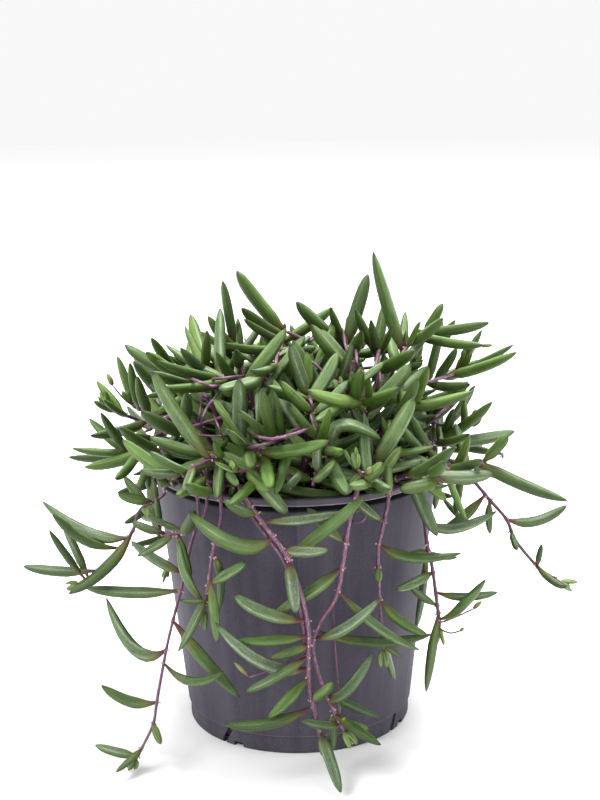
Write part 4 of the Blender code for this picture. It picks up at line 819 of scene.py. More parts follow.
@dataclass
class Stem:
    """The place of one leafy stem, from its foot in the soil to its tip."""

    name: str
    route: list[Vector]
    fine_route: list[Vector]
    leaves: list[Leaf] = field(default_factory=list)

    def at(self, share: float) -> tuple[Vector, Vector]:
        """The point and the direction at a share of the stem's points, short of its end.

        Args:
            share: The share of the way along the stem.

        Returns:
            The point and the direction there.
        """
        pieces = len(self.route) - 1
        short = HABIT.leaf_from_end / (self.route[-1] - self.route[-2]).length
        place = min(share * pieces, pieces - short)
        first = min(int(place), len(self.route) - 2)
        run = self.route[first + 1] - self.route[first]
        return self.route[first] + run * (place - first), run.normalized()

    def free_share(self, share: float) -> float:
        """A share at or before the given one where no other leaf is rooted.

        Args:
            share: The share that is wanted.

        Returns:
            The free share.
        """
        step = HABIT.leaf_spacing * 0.5 / (HABIT.stem_step * (len(self.route) - 1))
        while share > HABIT.lowest_leaf:
            place = self.at(share)[0]
            if all((place - leaf.foot).length > HABIT.leaf_spacing for leaf in self.leaves):
                return share
            share -= step
        return share

    def nearest(self, across: float, down: float) -> float:
        """The share of the stem that shows nearest to a pixel, above the soil.

        Args:
            across: The pixel's place across.
            down: The pixel's place down.

        Returns:
            The share of the way along the stem.
        """
        best = (float("inf"), 1.0)
        steps = HABIT.nearest_steps
        for k in range(int(HABIT.lowest_leaf * steps), steps + 1):
            shown = VIEW.pixel(self.at(k / steps)[0])
            away = math.hypot(shown[0] - across, shown[1] - down)
            best = min(best, (away, k / steps))
        return best[1]


class Space:
    """Balls that stand for what has grown so far, kept in a grid of cells."""

    CELL = 9.0 * MM
    STEPS = tuple(product((-1, 0, 1), repeat=3))

    def __init__(self) -> None:
        """Starts with nothing grown."""
        self.cells: dict[tuple[int, ...], list[tuple[str, object, Vector, float]]] = {}
        self.clearance = HABIT.clearance

    def key(self, point: Vector) -> tuple[int, ...]:
        """The cell that holds a point."""
        return tuple(math.floor(value / self.CELL) for value in point)

    def add(self, owner: str, part: object, centre: Vector, radius: float) -> None:
        """Keeps a ball for one part, such as a leaf, of its owner, a stem."""
        self.cells.setdefault(self.key(centre), []).append((owner, part, centre, radius))

    def room(self, owner: str, part: object, centre: Vector, radius: float, own: float | None) -> bool:
        """Whether a ball is clear of the others.

        Args:
            owner: The stem that the ball belongs to.
            part: The stem's part that it belongs to, whose own balls never count.
            centre: The ball's centre.
            radius: The ball's radius.
            own: The clearance from the same stem's other parts, or None to pass through them.

        Returns:
            True if no other ball comes too near.
        """
        home = self.key(centre)
        for step in self.STEPS:
            for other in self.cells.get(tuple(home[i] + step[i] for i in range(3)), ()):
                margin = self.clearance
                if other[0] == owner:
                    if own is None or other[1] == part:
                        continue
                    margin = own
                if (other[2] - centre).length < other[3] + radius + margin:
                    return False
        return True


class Plant:
    """Places the stems one after another, then their leaves, all clear of each other."""

    def __init__(self) -> None:
        """Starts with bare soil."""
        self.space = Space()
        self.dome_limit = HABIT.dome_limit
        self.pot_clearance = HABIT.clearance
        self.thickening = False
        self.stems: list[Stem] = []
        self.roots: list[Vector] = []
        self.draw = random.Random(HABIT.seed)
        self.places = list(self.root_places())

    def root_places(self) -> Iterator[Vector]:
        """The places where a stem may stand in the soil, on a square grid within a circle.

        Returns:
            The places, row by row.
        """
        count = int(HABIT.root_limit / HABIT.root_grid)
        for i in range(-count, count + 1):
            for j in range(-count, count + 1):
                place = Vector((i * HABIT.root_grid, j * HABIT.root_grid, 0.0))
                if place.length < HABIT.root_limit:
                    yield place

    def root_below(self, point: Vector) -> Vector:
        """Takes a free place on the soil under a point, drawn in towards the middle.

        Args:
            point: The point above the soil.

        Returns:
            The place, which is then taken.
        """
        wish = Vector((point.x, point.y, 0.0)) * HABIT.root_draw
        free = []
        for place in self.places:
            if all((place - other).length > HABIT.root_spacing for other in self.roots):
                free.append(((place - wish).length, place.x, place.y))
        nearest = min(free)
        self.roots.append(Vector((nearest[1], nearest[2], 0.0)))
        return self.roots[-1]

    def stem_clear(self, name: str, route: Iterable[Vector]) -> bool:
        """Whether a stem's route beyond its hole is clear of the pot and of other stems.

        Args:
            name: The stem's name.
            route: The points of its middle line.

        Returns:
            True if it touches nothing.
        """
        out_of_soil = POT.soil_middle + HABIT.stem_radius * 2.0
        for point in route:
            if point.z > out_of_soil or math.hypot(point.x, point.y) > POT.rim_radius:
                if not clear_of_pot(point, HABIT.stem_radius, HABIT.clearance):
                    return False
            if not self.space.room(name, "stem", point, HABIT.stem_radius, HABIT.own_clearance):
                return False
        return True

    def nudged(self, point: Vector, spread: float) -> Vector:
        """A point moved by up to the spread, and twice that along the view.

        Args:
            point: The point.
            spread: The greatest move.

        Returns:
            The moved point.
        """
        nudge = Vector([self.draw.uniform(-spread, spread) for _ in range(3)])
        nudge.y *= 2.0
        return point + nudge

    def add_stem(self, name: str, points: list[Vector]) -> Stem:
        """Adds a stem, with its free points nudged until it clears the others.

        Args:
            name: The stem's name, which is its solid's name too.
            points: The points that it leads through above its root.

        Returns:
            The new stem, still without leaves.

        Raises:
            ValueError: No try had room for it.
        """
        root = self.root_below(points[0])
        foot = root + Vector((0.0, 0.0, POT.soil_edge - HABIT.root_depth))
        rise = root + Vector((0.0, 0.0, POT.soil_middle + HABIT.root_rise))
        moved = list(points)
        for trial in range(HABIT.stem_tries):
            if self.stem_clear(name, smooth_route([foot, rise, *moved], HABIT.test_step)):
                break
            spread = HABIT.nudge + HABIT.nudge_growth * trial
            moved = [self.nudged(point, spread) for point in points]
        else:
            raise ValueError(f"no room for {name}")
        fine_route = smooth_route([foot, rise, *moved], HABIT.test_step)
        stem = Stem(name, smooth_route([foot, rise, *moved], HABIT.stem_step), fine_route)
        for point in fine_route:
            self.space.add(name, "stem", point, HABIT.stem_radius)
        self.stems.append(stem)
        return stem

    def leaf_clear(self, stem: Stem, leaf: Leaf, crossing: bool = False) -> bool:
        """Whether a leaf is clear of all else, and of its own stem's leaves unless crossing.

        Args:
            stem: The stem that is to bear the leaf.
            leaf: The leaf.
            crossing: Whether it may cross leaves of its own stem.

        Returns:
            True if it touches nothing that it may not.
        """
        for share, centre, radius in leaf.fill():
            own = None if crossing or share < HABIT.own_root_share else HABIT.own_clearance
            if share > HABIT.own_root_share / 2.0 and not clear_of_pot(centre, radius, self.pot_clearance):
                return False
            if not self.space.room(stem.name, len(stem.leaves), centre, radius, own):
                return False
        return True

    def keep_leaf(self, stem: Stem, leaf: Leaf) -> None:
        """Gives a stem a leaf and fills its space.

        Args:
            stem: The stem that bears it.
            leaf: The leaf.
        """
        for _, centre, radius in leaf.fill():
            self.space.add(stem.name, len(stem.leaves), centre, radius)
        stem.leaves.append(leaf)

    def bend_of(self, base: Vector, tip: Vector) -> Vector:
        """The bend of a leaf that leaves its stem flat and turns up to the light.

        Args:
            base: The leaf's foot.
            tip: The leaf's tip.

        Returns:
            The point that draws it up.
        """
        run = tip - base
        sideways = UP - run * (UP.dot(run) / run.length_squared)
        return (base + tip) * 0.5 - sideways * (run.length * HABIT.leaf_bow)

    def drawn_leaf(self, stem: Stem, row: Row, loose: bool = False) -> None:
        """Adds a leaf that is drawn over the front view, leaning to where it is clear.

        Args:
            stem: The stem that bears it.
            row: The leaf's row.
            loose: Whether it may grow from a side twig, where the stem shows away from its base.

        Raises:
            ValueError: No try had room for it.
        """
        base = stem.at(stem.free_share(stem.nearest(row[0], row[1])))[0]
        if loose and math.dist(VIEW.pixel(base), row[:2]) > HABIT.twig_from:
            base = DOME.seen_at(row[0], row[1], HABIT.twig_share)
        tries = product(HABIT.asides, (False, True), HABIT.widths, HABIT.shifts)
        for aside, crossing, width, shift in tries:
            tip = (row[2] + aside[0], row[3] + aside[1])
            leaf = self.leaning_leaf(base, tip, row, width, shift * MM)
            if self.leaf_clear(stem, leaf, crossing):
                self.keep_leaf(stem, leaf)
                return
        raise ValueError(f"no room for the leaf {row} of {stem.name}")

    def leaning_leaf(
        self, base: Vector, pixel: tuple[float, float], row: Row, width: float, shift: float
    ) -> Leaf:
        """A drawn leaf whose tip shows at a pixel and is shifted along the view by a length.

        Args:
            base: Where the leaf leaves its stem.
            pixel: Where its tip shows.
            row: The leaf's row in its spray.
            width: The share of its width that it keeps.
            shift: How much nearer to the viewer its tip comes.

        Returns:
            The leaf, which may not be clear of others.
        """
        if len(row) > 5:
            towards = -base.y + row[5] * MM
        else:
            towards = -DOME.seen_at(*pixel, 1.0).y
        tip = VIEW.point(*pixel, towards + shift)
        if (tip - base).length > HABIT.leaf_limit:
            tip = VIEW.point(*pixel, -base.y + (towards + base.y) * HABIT.long_lean + shift)
        bend = self.bend_of(base, tip)
        if len(row) > 6:
            middle = VIEW.point(row[6], row[7], -(base.y + tip.y) / 2.0)
            bend = middle + (middle - (base + tip) * 0.5) * HABIT.drawn_bend
        return Leaf(base, bend, tip, row[4] * MM * width / 2.0)

    def grown_leaf(
        self, stem: Stem, share: float, length: float, radius: float, rise: float, turn: float, forward: float
    ) -> None:
        """Adds a leaf by rule, unless no try has room for it.

        Args:
            stem: The stem that bears it.
            share: Where along the stem it grows.
            length: Its length.
            radius: Half its thickness.
            rise: How far it turns up, for each unit outward.
            turn: Its angle round the stem.
            forward: How far it turns along the stem, for each unit outward.
        """
        base, along = stem.at(stem.free_share(share))
        side = along.cross(HABIT.round_from).normalized()
        over = side.cross(along)
        for trial in range(HABIT.tries):
            angle = turn + trial * HABIT.turn_step * (-1) ** trial
            out = about(side, over, angle)
            lift = Vector((0.0, 0.0, rise + HABIT.turn_lift * trial))
            aim = (out + along * forward + lift).normalized()
            tip = base + aim * (length * (1.0 - HABIT.turn_trim * trial))
            leaf = Leaf(base, self.bend_of(base, tip), tip, radius)
            facing = aim.dot(outward(0.0)) > HABIT.extra_facing
            if self.thickening and (facing or VIEW.left_open(tip)):
                continue
            if DOME.left_outside(tip, self.dome_limit) or VIEW.in_front(tip, VIEW.bare_wall):
                continue
            if self.leaf_clear(stem, leaf):
                self.keep_leaf(stem, leaf)
                return

    def over_rim(self, out: Vector) -> Vector:
        """The point where a stem crosses the rim in a level direction."""
        return out * (POT.rim_radius + HABIT.over_rim.x) + UP * (POT.height + HABIT.over_rim.z)

    def drawn_stem(self, spray: Spray, trailing: bool) -> Stem:
        """Adds a stem that is drawn over the front view.

        Args:
            spray: The drawing.
            trailing: Whether it hangs over the rim.

        Returns:
            The new stem.
        """
        points = []
        for row in spray.route:
            if len(row) == 3:
                points.append(VIEW.point(row[0], row[1], row[2] * MM))
            else:
                points.append(DOME.seen_at(row[0], row[1], DOME.stem_share))
        if trailing:
            points.insert(0, self.over_rim(level_part(points[0])))
        return self.add_stem(spray.name, points)

    def fan_stem(self, name: str, angle: float, way: Rows) -> Stem:
        """Adds a stem of the mound's back and middle: out along the inside of the dome.

        Args:
            name: The stem's name.
            angle: Its angle from the front in degrees.
            way: How far out and how high it runs, as shares of the dome.

        Returns:
            The new stem.
        """
        tilt = self.draw.uniform(-HABIT.fan_tilt, HABIT.fan_tilt)
        points = []
        for k, (height_share, share) in enumerate(way):
            points.append(DOME.at(angle + tilt * k, height_share, share))
        return self.add_stem(name, points)

    def hanging_stem(self, name: str, angle: float) -> Stem:
        """Adds a stem of the back or side that trails over the rim and hangs down.

        Args:
            name: The stem's name.
            angle: Its angle from the front in degrees.

        Returns:
            The new stem.
        """
        out = outward(angle)
        across = outward(angle + 90.0)
        drops = HABIT.short_drops if angle in HABIT.short_trails else HABIT.long_drops
        drop = self.draw.uniform(*drops) * MM
        sway = self.draw.uniform(-HABIT.hang_sway, HABIT.hang_sway) * MM
        points = [self.over_rim(out)]
        for beyond, fall, aside in HABIT.hang_way:
            point = out * (POT.rim_radius + beyond * MM) + across * (sway * aside)
            point.z = POT.height - drop * fall
            points.append(point)
        return self.add_stem(name, points)

    def grow(self) -> None:
        """Places the drawn stems and leaves, then the stems and leaves that go by rule."""
        trailing = [(spray, self.drawn_stem(spray, True)) for spray in TRAILING_SPRAYS]
        mound = [(spray, self.drawn_stem(spray, False)) for spray in MOUND_SPRAYS]
        for spray, stem in trailing + mound:
            for row in spray.leaves:
                self.drawn_leaf(stem, row)
        fans = []
        ways = (("low", HABIT.low_fan, HABIT.low_way), ("high", HABIT.high_fan, HABIT.high_way))
        for name, angles, way in ways:
            for k, angle in enumerate(angles):
                fans.append(self.fan_stem(f"stem_{name}_{k + 1:02d}", angle, way))
        hangers = [self.hanging_stem(f"stem_hang_{k + 1:02d}", a) for k, a in enumerate(HABIT.trail_fan)]
        for stem in fans:
            self.fill(stem, HABIT.fan_leaves, HABIT.fan_fill)
        for stem in hangers:
            self.fill(stem, HABIT.trail_leaves, HABIT.hang_fill)
        for spray, stem in trailing + mound:
            self.fill(stem, spray.fill, HABIT.drawn_fill)
        for stem in [pair[1] for pair in mound] + fans:
            self.low_leaf(stem)

    def low_leaf(self, stem: Stem) -> None:
        """Adds a leaf that reaches out flat from a stem's lower part, over the soil and rim.

        Args:
            stem: The stem that bears it.
        """
        base, along = stem.at(HABIT.low_share)
        side = along.cross(HABIT.round_from).normalized()
        out = Vector((base.x, base.y, 0.0))
        turn = math.atan2(out.dot(side.cross(along)), out.dot(side))
        turn += self.draw.uniform(-HABIT.low_lean, HABIT.low_lean)
        length = self.draw.uniform(*HABIT.full_lengths) * MM
        radius = self.draw.uniform(*HABIT.full_radii) * MM
        self.grown_leaf(stem, HABIT.low_share, length, radius, HABIT.low_rise, turn, HABIT.low_forward)

    def fill(self, stem: Stem, count: int, way: Row) -> None:
        """Adds leaves by rule along a stem, the last of a full set small and close to its tip.

        Args:
            stem: The stem that bears them.
            count: How many there are.
            way: Where along the stem they begin, how far they turn up, and how far along it.
        """
        start, rise, forward = way
        turn = self.draw.uniform(0.0, math.tau)
        for k in range(count):
            young = k >= count - HABIT.young_leaves and count > HABIT.young_leaves
            length = self.draw.uniform(*(HABIT.young_lengths if young else HABIT.full_lengths)) * MM
            radius = self.draw.uniform(*(HABIT.young_radii if young else HABIT.full_radii)) * MM
            share = start + (1.0 - start) * (k + 1) / count
            self.grown_leaf(stem, share, length, radius, rise, turn, forward)
            turn += HABIT.next_turn

    def runner(self, width: float, points: Rows) -> list[Vector]:
        """The route of a bare side shoot that shows between the leaves, its ends among them.

        Args:
            width: Its thickness.
            points: The pixels that it shows at, with a distance towards the viewer if it trails.

        Returns:
            Its route, at the depth where it is clearest of the leaves.
        """
        if len(points[0]) == 3:
            return smooth_route([VIEW.point(p[0], p[1], p[2] * MM) for p in points], HABIT.test_step)
        found = []
        for share in HABIT.runner_shares:
            ends = []
            for end, inner in ((points[0], points[1]), (points[-1], points[-2])):
                run = Vector(end) - Vector(inner)
                beyond = Vector(end) + run.normalized() * HABIT.runner_end
                ends.append(DOME.seen_at(beyond.x, beyond.y, HABIT.runner_end_share))
            middle = [DOME.seen_at(p[0], p[1], share) for p in points]
            route = smooth_route([ends[0], *middle, ends[1]], HABIT.test_step)
            blocked = sum(not self.space.room("", None, p, width / 2.0, None) for p in route)
            found.append((blocked, -share, route))
        route = min(found)[2]
        for point in route:
            self.space.add("runner", None, point, width / 2.0)
        return route

    def nearest_stem(self, across: float, down: float, trailing: bool) -> Stem:
        """The stem that shows nearest to a pixel, the nearer to the viewer the better.

        Args:
            across: The pixel's place across.
            down: The pixel's place down.
            trailing: Whether a trailing stem is wanted, not one of the mound.

        Returns:
            The stem.
        """
        best = (float("inf"), self.stems[0].name, self.stems[0])
        for stem in self.stems:
            if stem.name.startswith("stem_trail") == trailing and "hang" not in stem.name:
                place = stem.at(stem.nearest(across, down))[0]
                shown = VIEW.pixel(place)
                away = math.hypot(shown[0] - across, shown[1] - down)
                away += (place.y - VIEW.place.y) * HABIT.depth_weight
                best = min(best, (away, stem.name, stem))
        return best[2]

    def thicken(self) -> None:
        """Adds the leaves that the solids leave out, closer together than solids may stand."""
        self.thickening = True
        self.draw = random.Random(HABIT.extra_seed)
        self.space.clearance = HABIT.extra_clearance
        self.pot_clearance = HABIT.extra_pot_clearance
        self.dome_limit = HABIT.extra_dome
        for row in CLOSE_LEAVES:
            stem = self.nearest_stem(row[0], row[1], row[1] > CLOSE_TRAILING_BELOW)
            try:
                self.drawn_leaf(stem, row, True)
            except ValueError:
                log.warning("no room for the close leaf %s", row)
        for stem in self.stems:
            if stem.name.startswith("stem_trail"):
                continue
            hangs = stem.name.startswith("stem_hang")
            for _ in range(HABIT.extra_trail_leaves if hangs else HABIT.extra_leaves):
                length = self.draw.uniform(*HABIT.extra_lengths) * MM
                radius = self.draw.uniform(*HABIT.extra_radii) * MM
                rise = self.draw.uniform(*HABIT.extra_rises)
                turn = self.draw.uniform(0.0, math.tau)
                share = self.draw.uniform(*HABIT.extra_shares)
                self.grown_leaf(stem, share, length, radius, rise, turn, HABIT.extra_forward)


class Skin(Enum):
    """What a face of a leafy stem is covered with, in the order of its material slots."""

    LEAF = 0
    STEM = 1
    BRACT = 2


@dataclass(frozen=True)
class Tint:
    """What the finishes need to know of one leaf, stem or bract: each a share from 0 to 1."""

    tone: float = 0.5
    youth: float = 0.0
    blush: float = 0.5
    bloom: float = 0.3
    # How much of a leaf is stalk; on trailing leaves it also sets how much darker they are painted, a painted shade.
    stalk: float = 0.0


class MeshDraft:
    """Points and faces that are gathered into one mesh, with marks that the finishes read."""

    def __init__(self) -> None:
        """Starts with no points."""
        self.points: list[Vector] = []
        self.faces: list[tuple[int, ...]] = []
        self.skins: list[int] = []
        self.marks: dict[str, list[Sequence[float]]] = {"form": [], "tint": [], "place": []}

    def point(self, place: Vector, form: Sequence[float], tint: Tint, grain: Sequence[float]) -> int:
        """Adds a point.

        Args:
            place: Where it is.
            form: Its share of the length, how far it faces the side that the finishes paint lighter, up and outward,
                and its bloom.
            tint: What its leaf or stem looks like.
            grain: Its place in mm on the unrolled surface, for streaks and speckles.

        Returns:
            The point's number.
        """
        self.points.append(place)
        self.marks["form"].append(form)
        self.marks["tint"].append((tint.tone, tint.youth, tint.blush))
        self.marks["place"].append(grain)
        return len(self.points) - 1

    def join(self, first: list[int], second: list[int], skin: Skin) -> None:
        """Joins two rings of points, either of which may be a single point.

        Args:
            first: The numbers of one ring's points.
            second: The numbers of the next ring's points.
            skin: What the faces are covered with.
        """
        count = max(len(first), len(second))
        for k in range(count):
            after = (k + 1) % count
            if len(first) == 1:
                face = (first[0], second[after], second[k])
            elif len(second) == 1:
                face = (first[k], first[after], second[0])
            else:
                face = (first[k], first[after], second[after], second[k])
            self.faces.append(face)
            self.skins.append(skin.value)

    def build(self, name: str, finishes: Sequence[Material]) -> Object:
        """Makes the mesh and adds it to the scene.

        Args:
            name: The piece's name.
            finishes: Its materials, in the order of Skin.

        Returns:
            The new piece.
        """
        mesh = bpy.data.meshes.new(name)
        mesh.from_pydata(self.points, [], self.faces)
        for mark, values in self.marks.items():
            layer = mesh.attributes.new(mark, "FLOAT_VECTOR", "POINT")
            layer.data.foreach_set("vector", [number for value in values for number in value])
        mesh.polygons.foreach_set("material_index", self.skins)
        for finish in finishes:
            mesh.materials.append(finish)
        mesh.shade_smooth()
        return add_object(name, mesh)


@dataclass(frozen=True)
class FingerForm:
    """The form of a finger-shaped leaf: narrow foot, full middle, pointed tip, flatter top."""

    sides: int = 14
    shares: Row = (
        0.0, 0.035, 0.08, 0.14, 0.21, 0.3, 0.4, 0.51, 0.62, 0.72, 0.81, 0.88, 0.935, 0.97, 0.99, 1.0,
    )
    foot: float = 0.4
    full_from: Span = (0.18, 0.34)
    tip_powers: Span = (4.0, 8.0)
    tip_round: float = 0.74
    width: float = 0.98
    depth: float = 0.92
    flat_top: float = 0.3
    face_turn: float = 0.6
    sway: float = 0.45 * MM
    stem_side: float = 0.2
    out_side: float = 0.7
    twig_from: float = 2.0 * MM
    near_foot: float = 0.2
    inset: float = 0.3 * MM
    grain_offsets: Span = (0.0, 90.0)

    def fullness(self, share: float, full_from: float, tip_power: float) -> float:
        """The leaf's thickness at a share of its length.

        Args:
            share: The share of the way from foot to tip.
            full_from: The share from which the leaf is full.
            tip_power: How blunt the tip is.

        Returns:
            The thickness as a share of the greatest.
        """
        rise = min(share / full_from, 1.0)
        rise = self.foot + (1.0 - self.foot) * rise * rise * (3.0 - 2.0 * rise)
        return rise * max(1.0 - share**tip_power, 0.0) ** self.tip_round

    def add(self, draft: MeshDraft, leaf: Leaf, foot: Vector, along_stem: Vector, tint: Tint) -> None:
        """Adds a leaf.

        Args:
            draft: What it is added to.
            leaf: Its place.
            foot: The middle of its stem where it grows.
            along_stem: The stem's direction there.
            tint: What it looks like.
        """
        draw = random.Random(f"{leaf.tip.x:.5f} {leaf.tip.z:.5f}")
        start = leaf.foot
        if (leaf.foot - foot).length < self.twig_from:
            start = foot + (leaf.foot - foot) * self.near_foot
        base = start - (leaf.bend - start).normalized() * self.inset
        sway = draw.uniform(-1.0, 1.0) * self.sway
        offset = (draw.uniform(*self.grain_offsets), draw.uniform(*self.grain_offsets))
        shape = (draw.uniform(*self.full_from), draw.uniform(*self.tip_powers))
        length = (leaf.tip - base).length
        face = draw.uniform(-self.face_turn, self.face_turn)
        away = level_part(leaf.tip)
        last: list[int] = []
        for share in self.shares:
            along = ((leaf.bend - base) * (1.0 - share) + (leaf.tip - leaf.bend) * share).normalized()
            # The side facing up, outward from the pot's axis and a little along the stem gets the leaf finish's
            # painted light, and the other side its painted shade; the flatter top faces it too.
            lift = UP + away * self.out_side + along_stem * self.stem_side
            side = along.cross(lift).normalized()
            over = side.cross(along)
            place = curve(base, leaf.bend, leaf.tip, share) + side * (sway * math.sin(math.pi * share))
            size = leaf.radius * self.fullness(share, *shape)
            ring = []
            for k in range(self.sides if 0.0 < share < 1.0 else 1):
                turn = math.tau * k / self.sides
                rise = math.sin(turn)
                flat = 1.0 - self.flat_top * max(rise, 0.0) ** 3
                across = side * (math.cos(turn) * size * self.width)
                out = across + over * (rise * size * self.depth * flat)
                around = offset[0] + turn * leaf.radius / MM
                grain = (around, offset[1] + share * length / MM, tint.stalk)
                form = (share, math.sin(turn + face), tint.bloom)
                ring.append(draft.point(place + out, form, tint, grain))
            if last:
                draft.join(last, ring, Skin.LEAF)
            last = ring


@dataclass(frozen=True)
class TubeForm:
    """The form of stems, stalks, bracts and buds: round all along, of changing thickness."""

    sides: int = 12
    lit_top: float = 0.6
    lit_out: float = 0.7
    grain_spread: float = 80.0
    grain_width: float = 1.2
    point_shares: Row = (0.0, 0.1, 0.28, 0.5, 0.72, 0.9, 1.0)
    point_swell: Row = (0.0, 0.6, 0.92, 1.0, 0.8, 0.42, 0.0)

    def add(
        self, draft: MeshDraft, route: Sequence[Vector], radii: Row, tint: Tint, skin: Skin, sides: int = 0
    ) -> None:
        """Adds a closed tube.

        Args:
            draft: What it is added to.
            route: The points of its middle line.
            radii: Its radius at each point, which is 0 at a pointed end.
            tint: What it looks like.
            skin: What it is covered with.
            sides: How many sides it has, if not the form's own number.
        """
        count = sides or self.sides
        side = (route[1] - route[0]).orthogonal().normalized()
        rings: list[list[int]] = []
        run = 0.0
        for k, place in enumerate(route):
            before = route[max(k - 1, 0)]
            along = (route[min(k + 1, len(route) - 1)] - before).normalized()
            side = (side - along * side.dot(along)).normalized()
            over = along.cross(side)
            run += (place - before).length / MM
            share = k / (len(route) - 1)
            ring = []
            for i in range(count if radii[k] else 1):
                turn = math.tau * i / count
                out = about(side, over, turn)
                around = tint.tone * self.grain_spread + turn * self.grain_width
                grain = (around, tint.blush * self.grain_spread + run, 0.0)
                # lit marks the upper and outer side, which the stem skin paints pinker and with glints as a painted
                # sheen.
                lit = out.z * self.lit_top + out.dot(level_part(place)) * self.lit_out
                ring.append(draft.point(place + out * radii[k], (share, lit, tint.bloom), tint, grain))
            rings.append(ring)
        for first, second in zip(rings, rings[1:]):
            draft.join(first, second, skin)
        for end, turned in ((rings[0], True), (rings[-1], False)):
            if len(end) > 1:
                draft.faces.append(tuple(reversed(end)) if turned else tuple(end))
                draft.skins.append(skin.value)

    def pointed(
        self, draft: MeshDraft, start: Vector, end: Vector, radius: float, tint: Tint, skin: Skin, sides: int
    ) -> None:
        """Adds a small body that is pointed at both ends, such as a bract or a bud.

        Args:
            draft: What it is added to.
            start: One end.
            end: The other end.
            radius: Its greatest radius.
            tint: What it looks like.
            skin: What it is covered with.
            sides: How many sides it has.
        """
        route = [start.lerp(end, share) for share in self.point_shares]
        self.add(draft, route, [radius * size for size in self.point_swell], tint, skin, sides)


@dataclass(frozen=True)
class Bud:
    """A flower bud: the points of its stalk, its tip and half its thickness."""

    stalk: list[Vector]
    tip: Vector
    radius: float


@dataclass(frozen=True)
class Runner:
    """A bare side shoot: its route, half its thickness and how pink it is."""

    route: list[Vector]
    radius: float
    pink: float


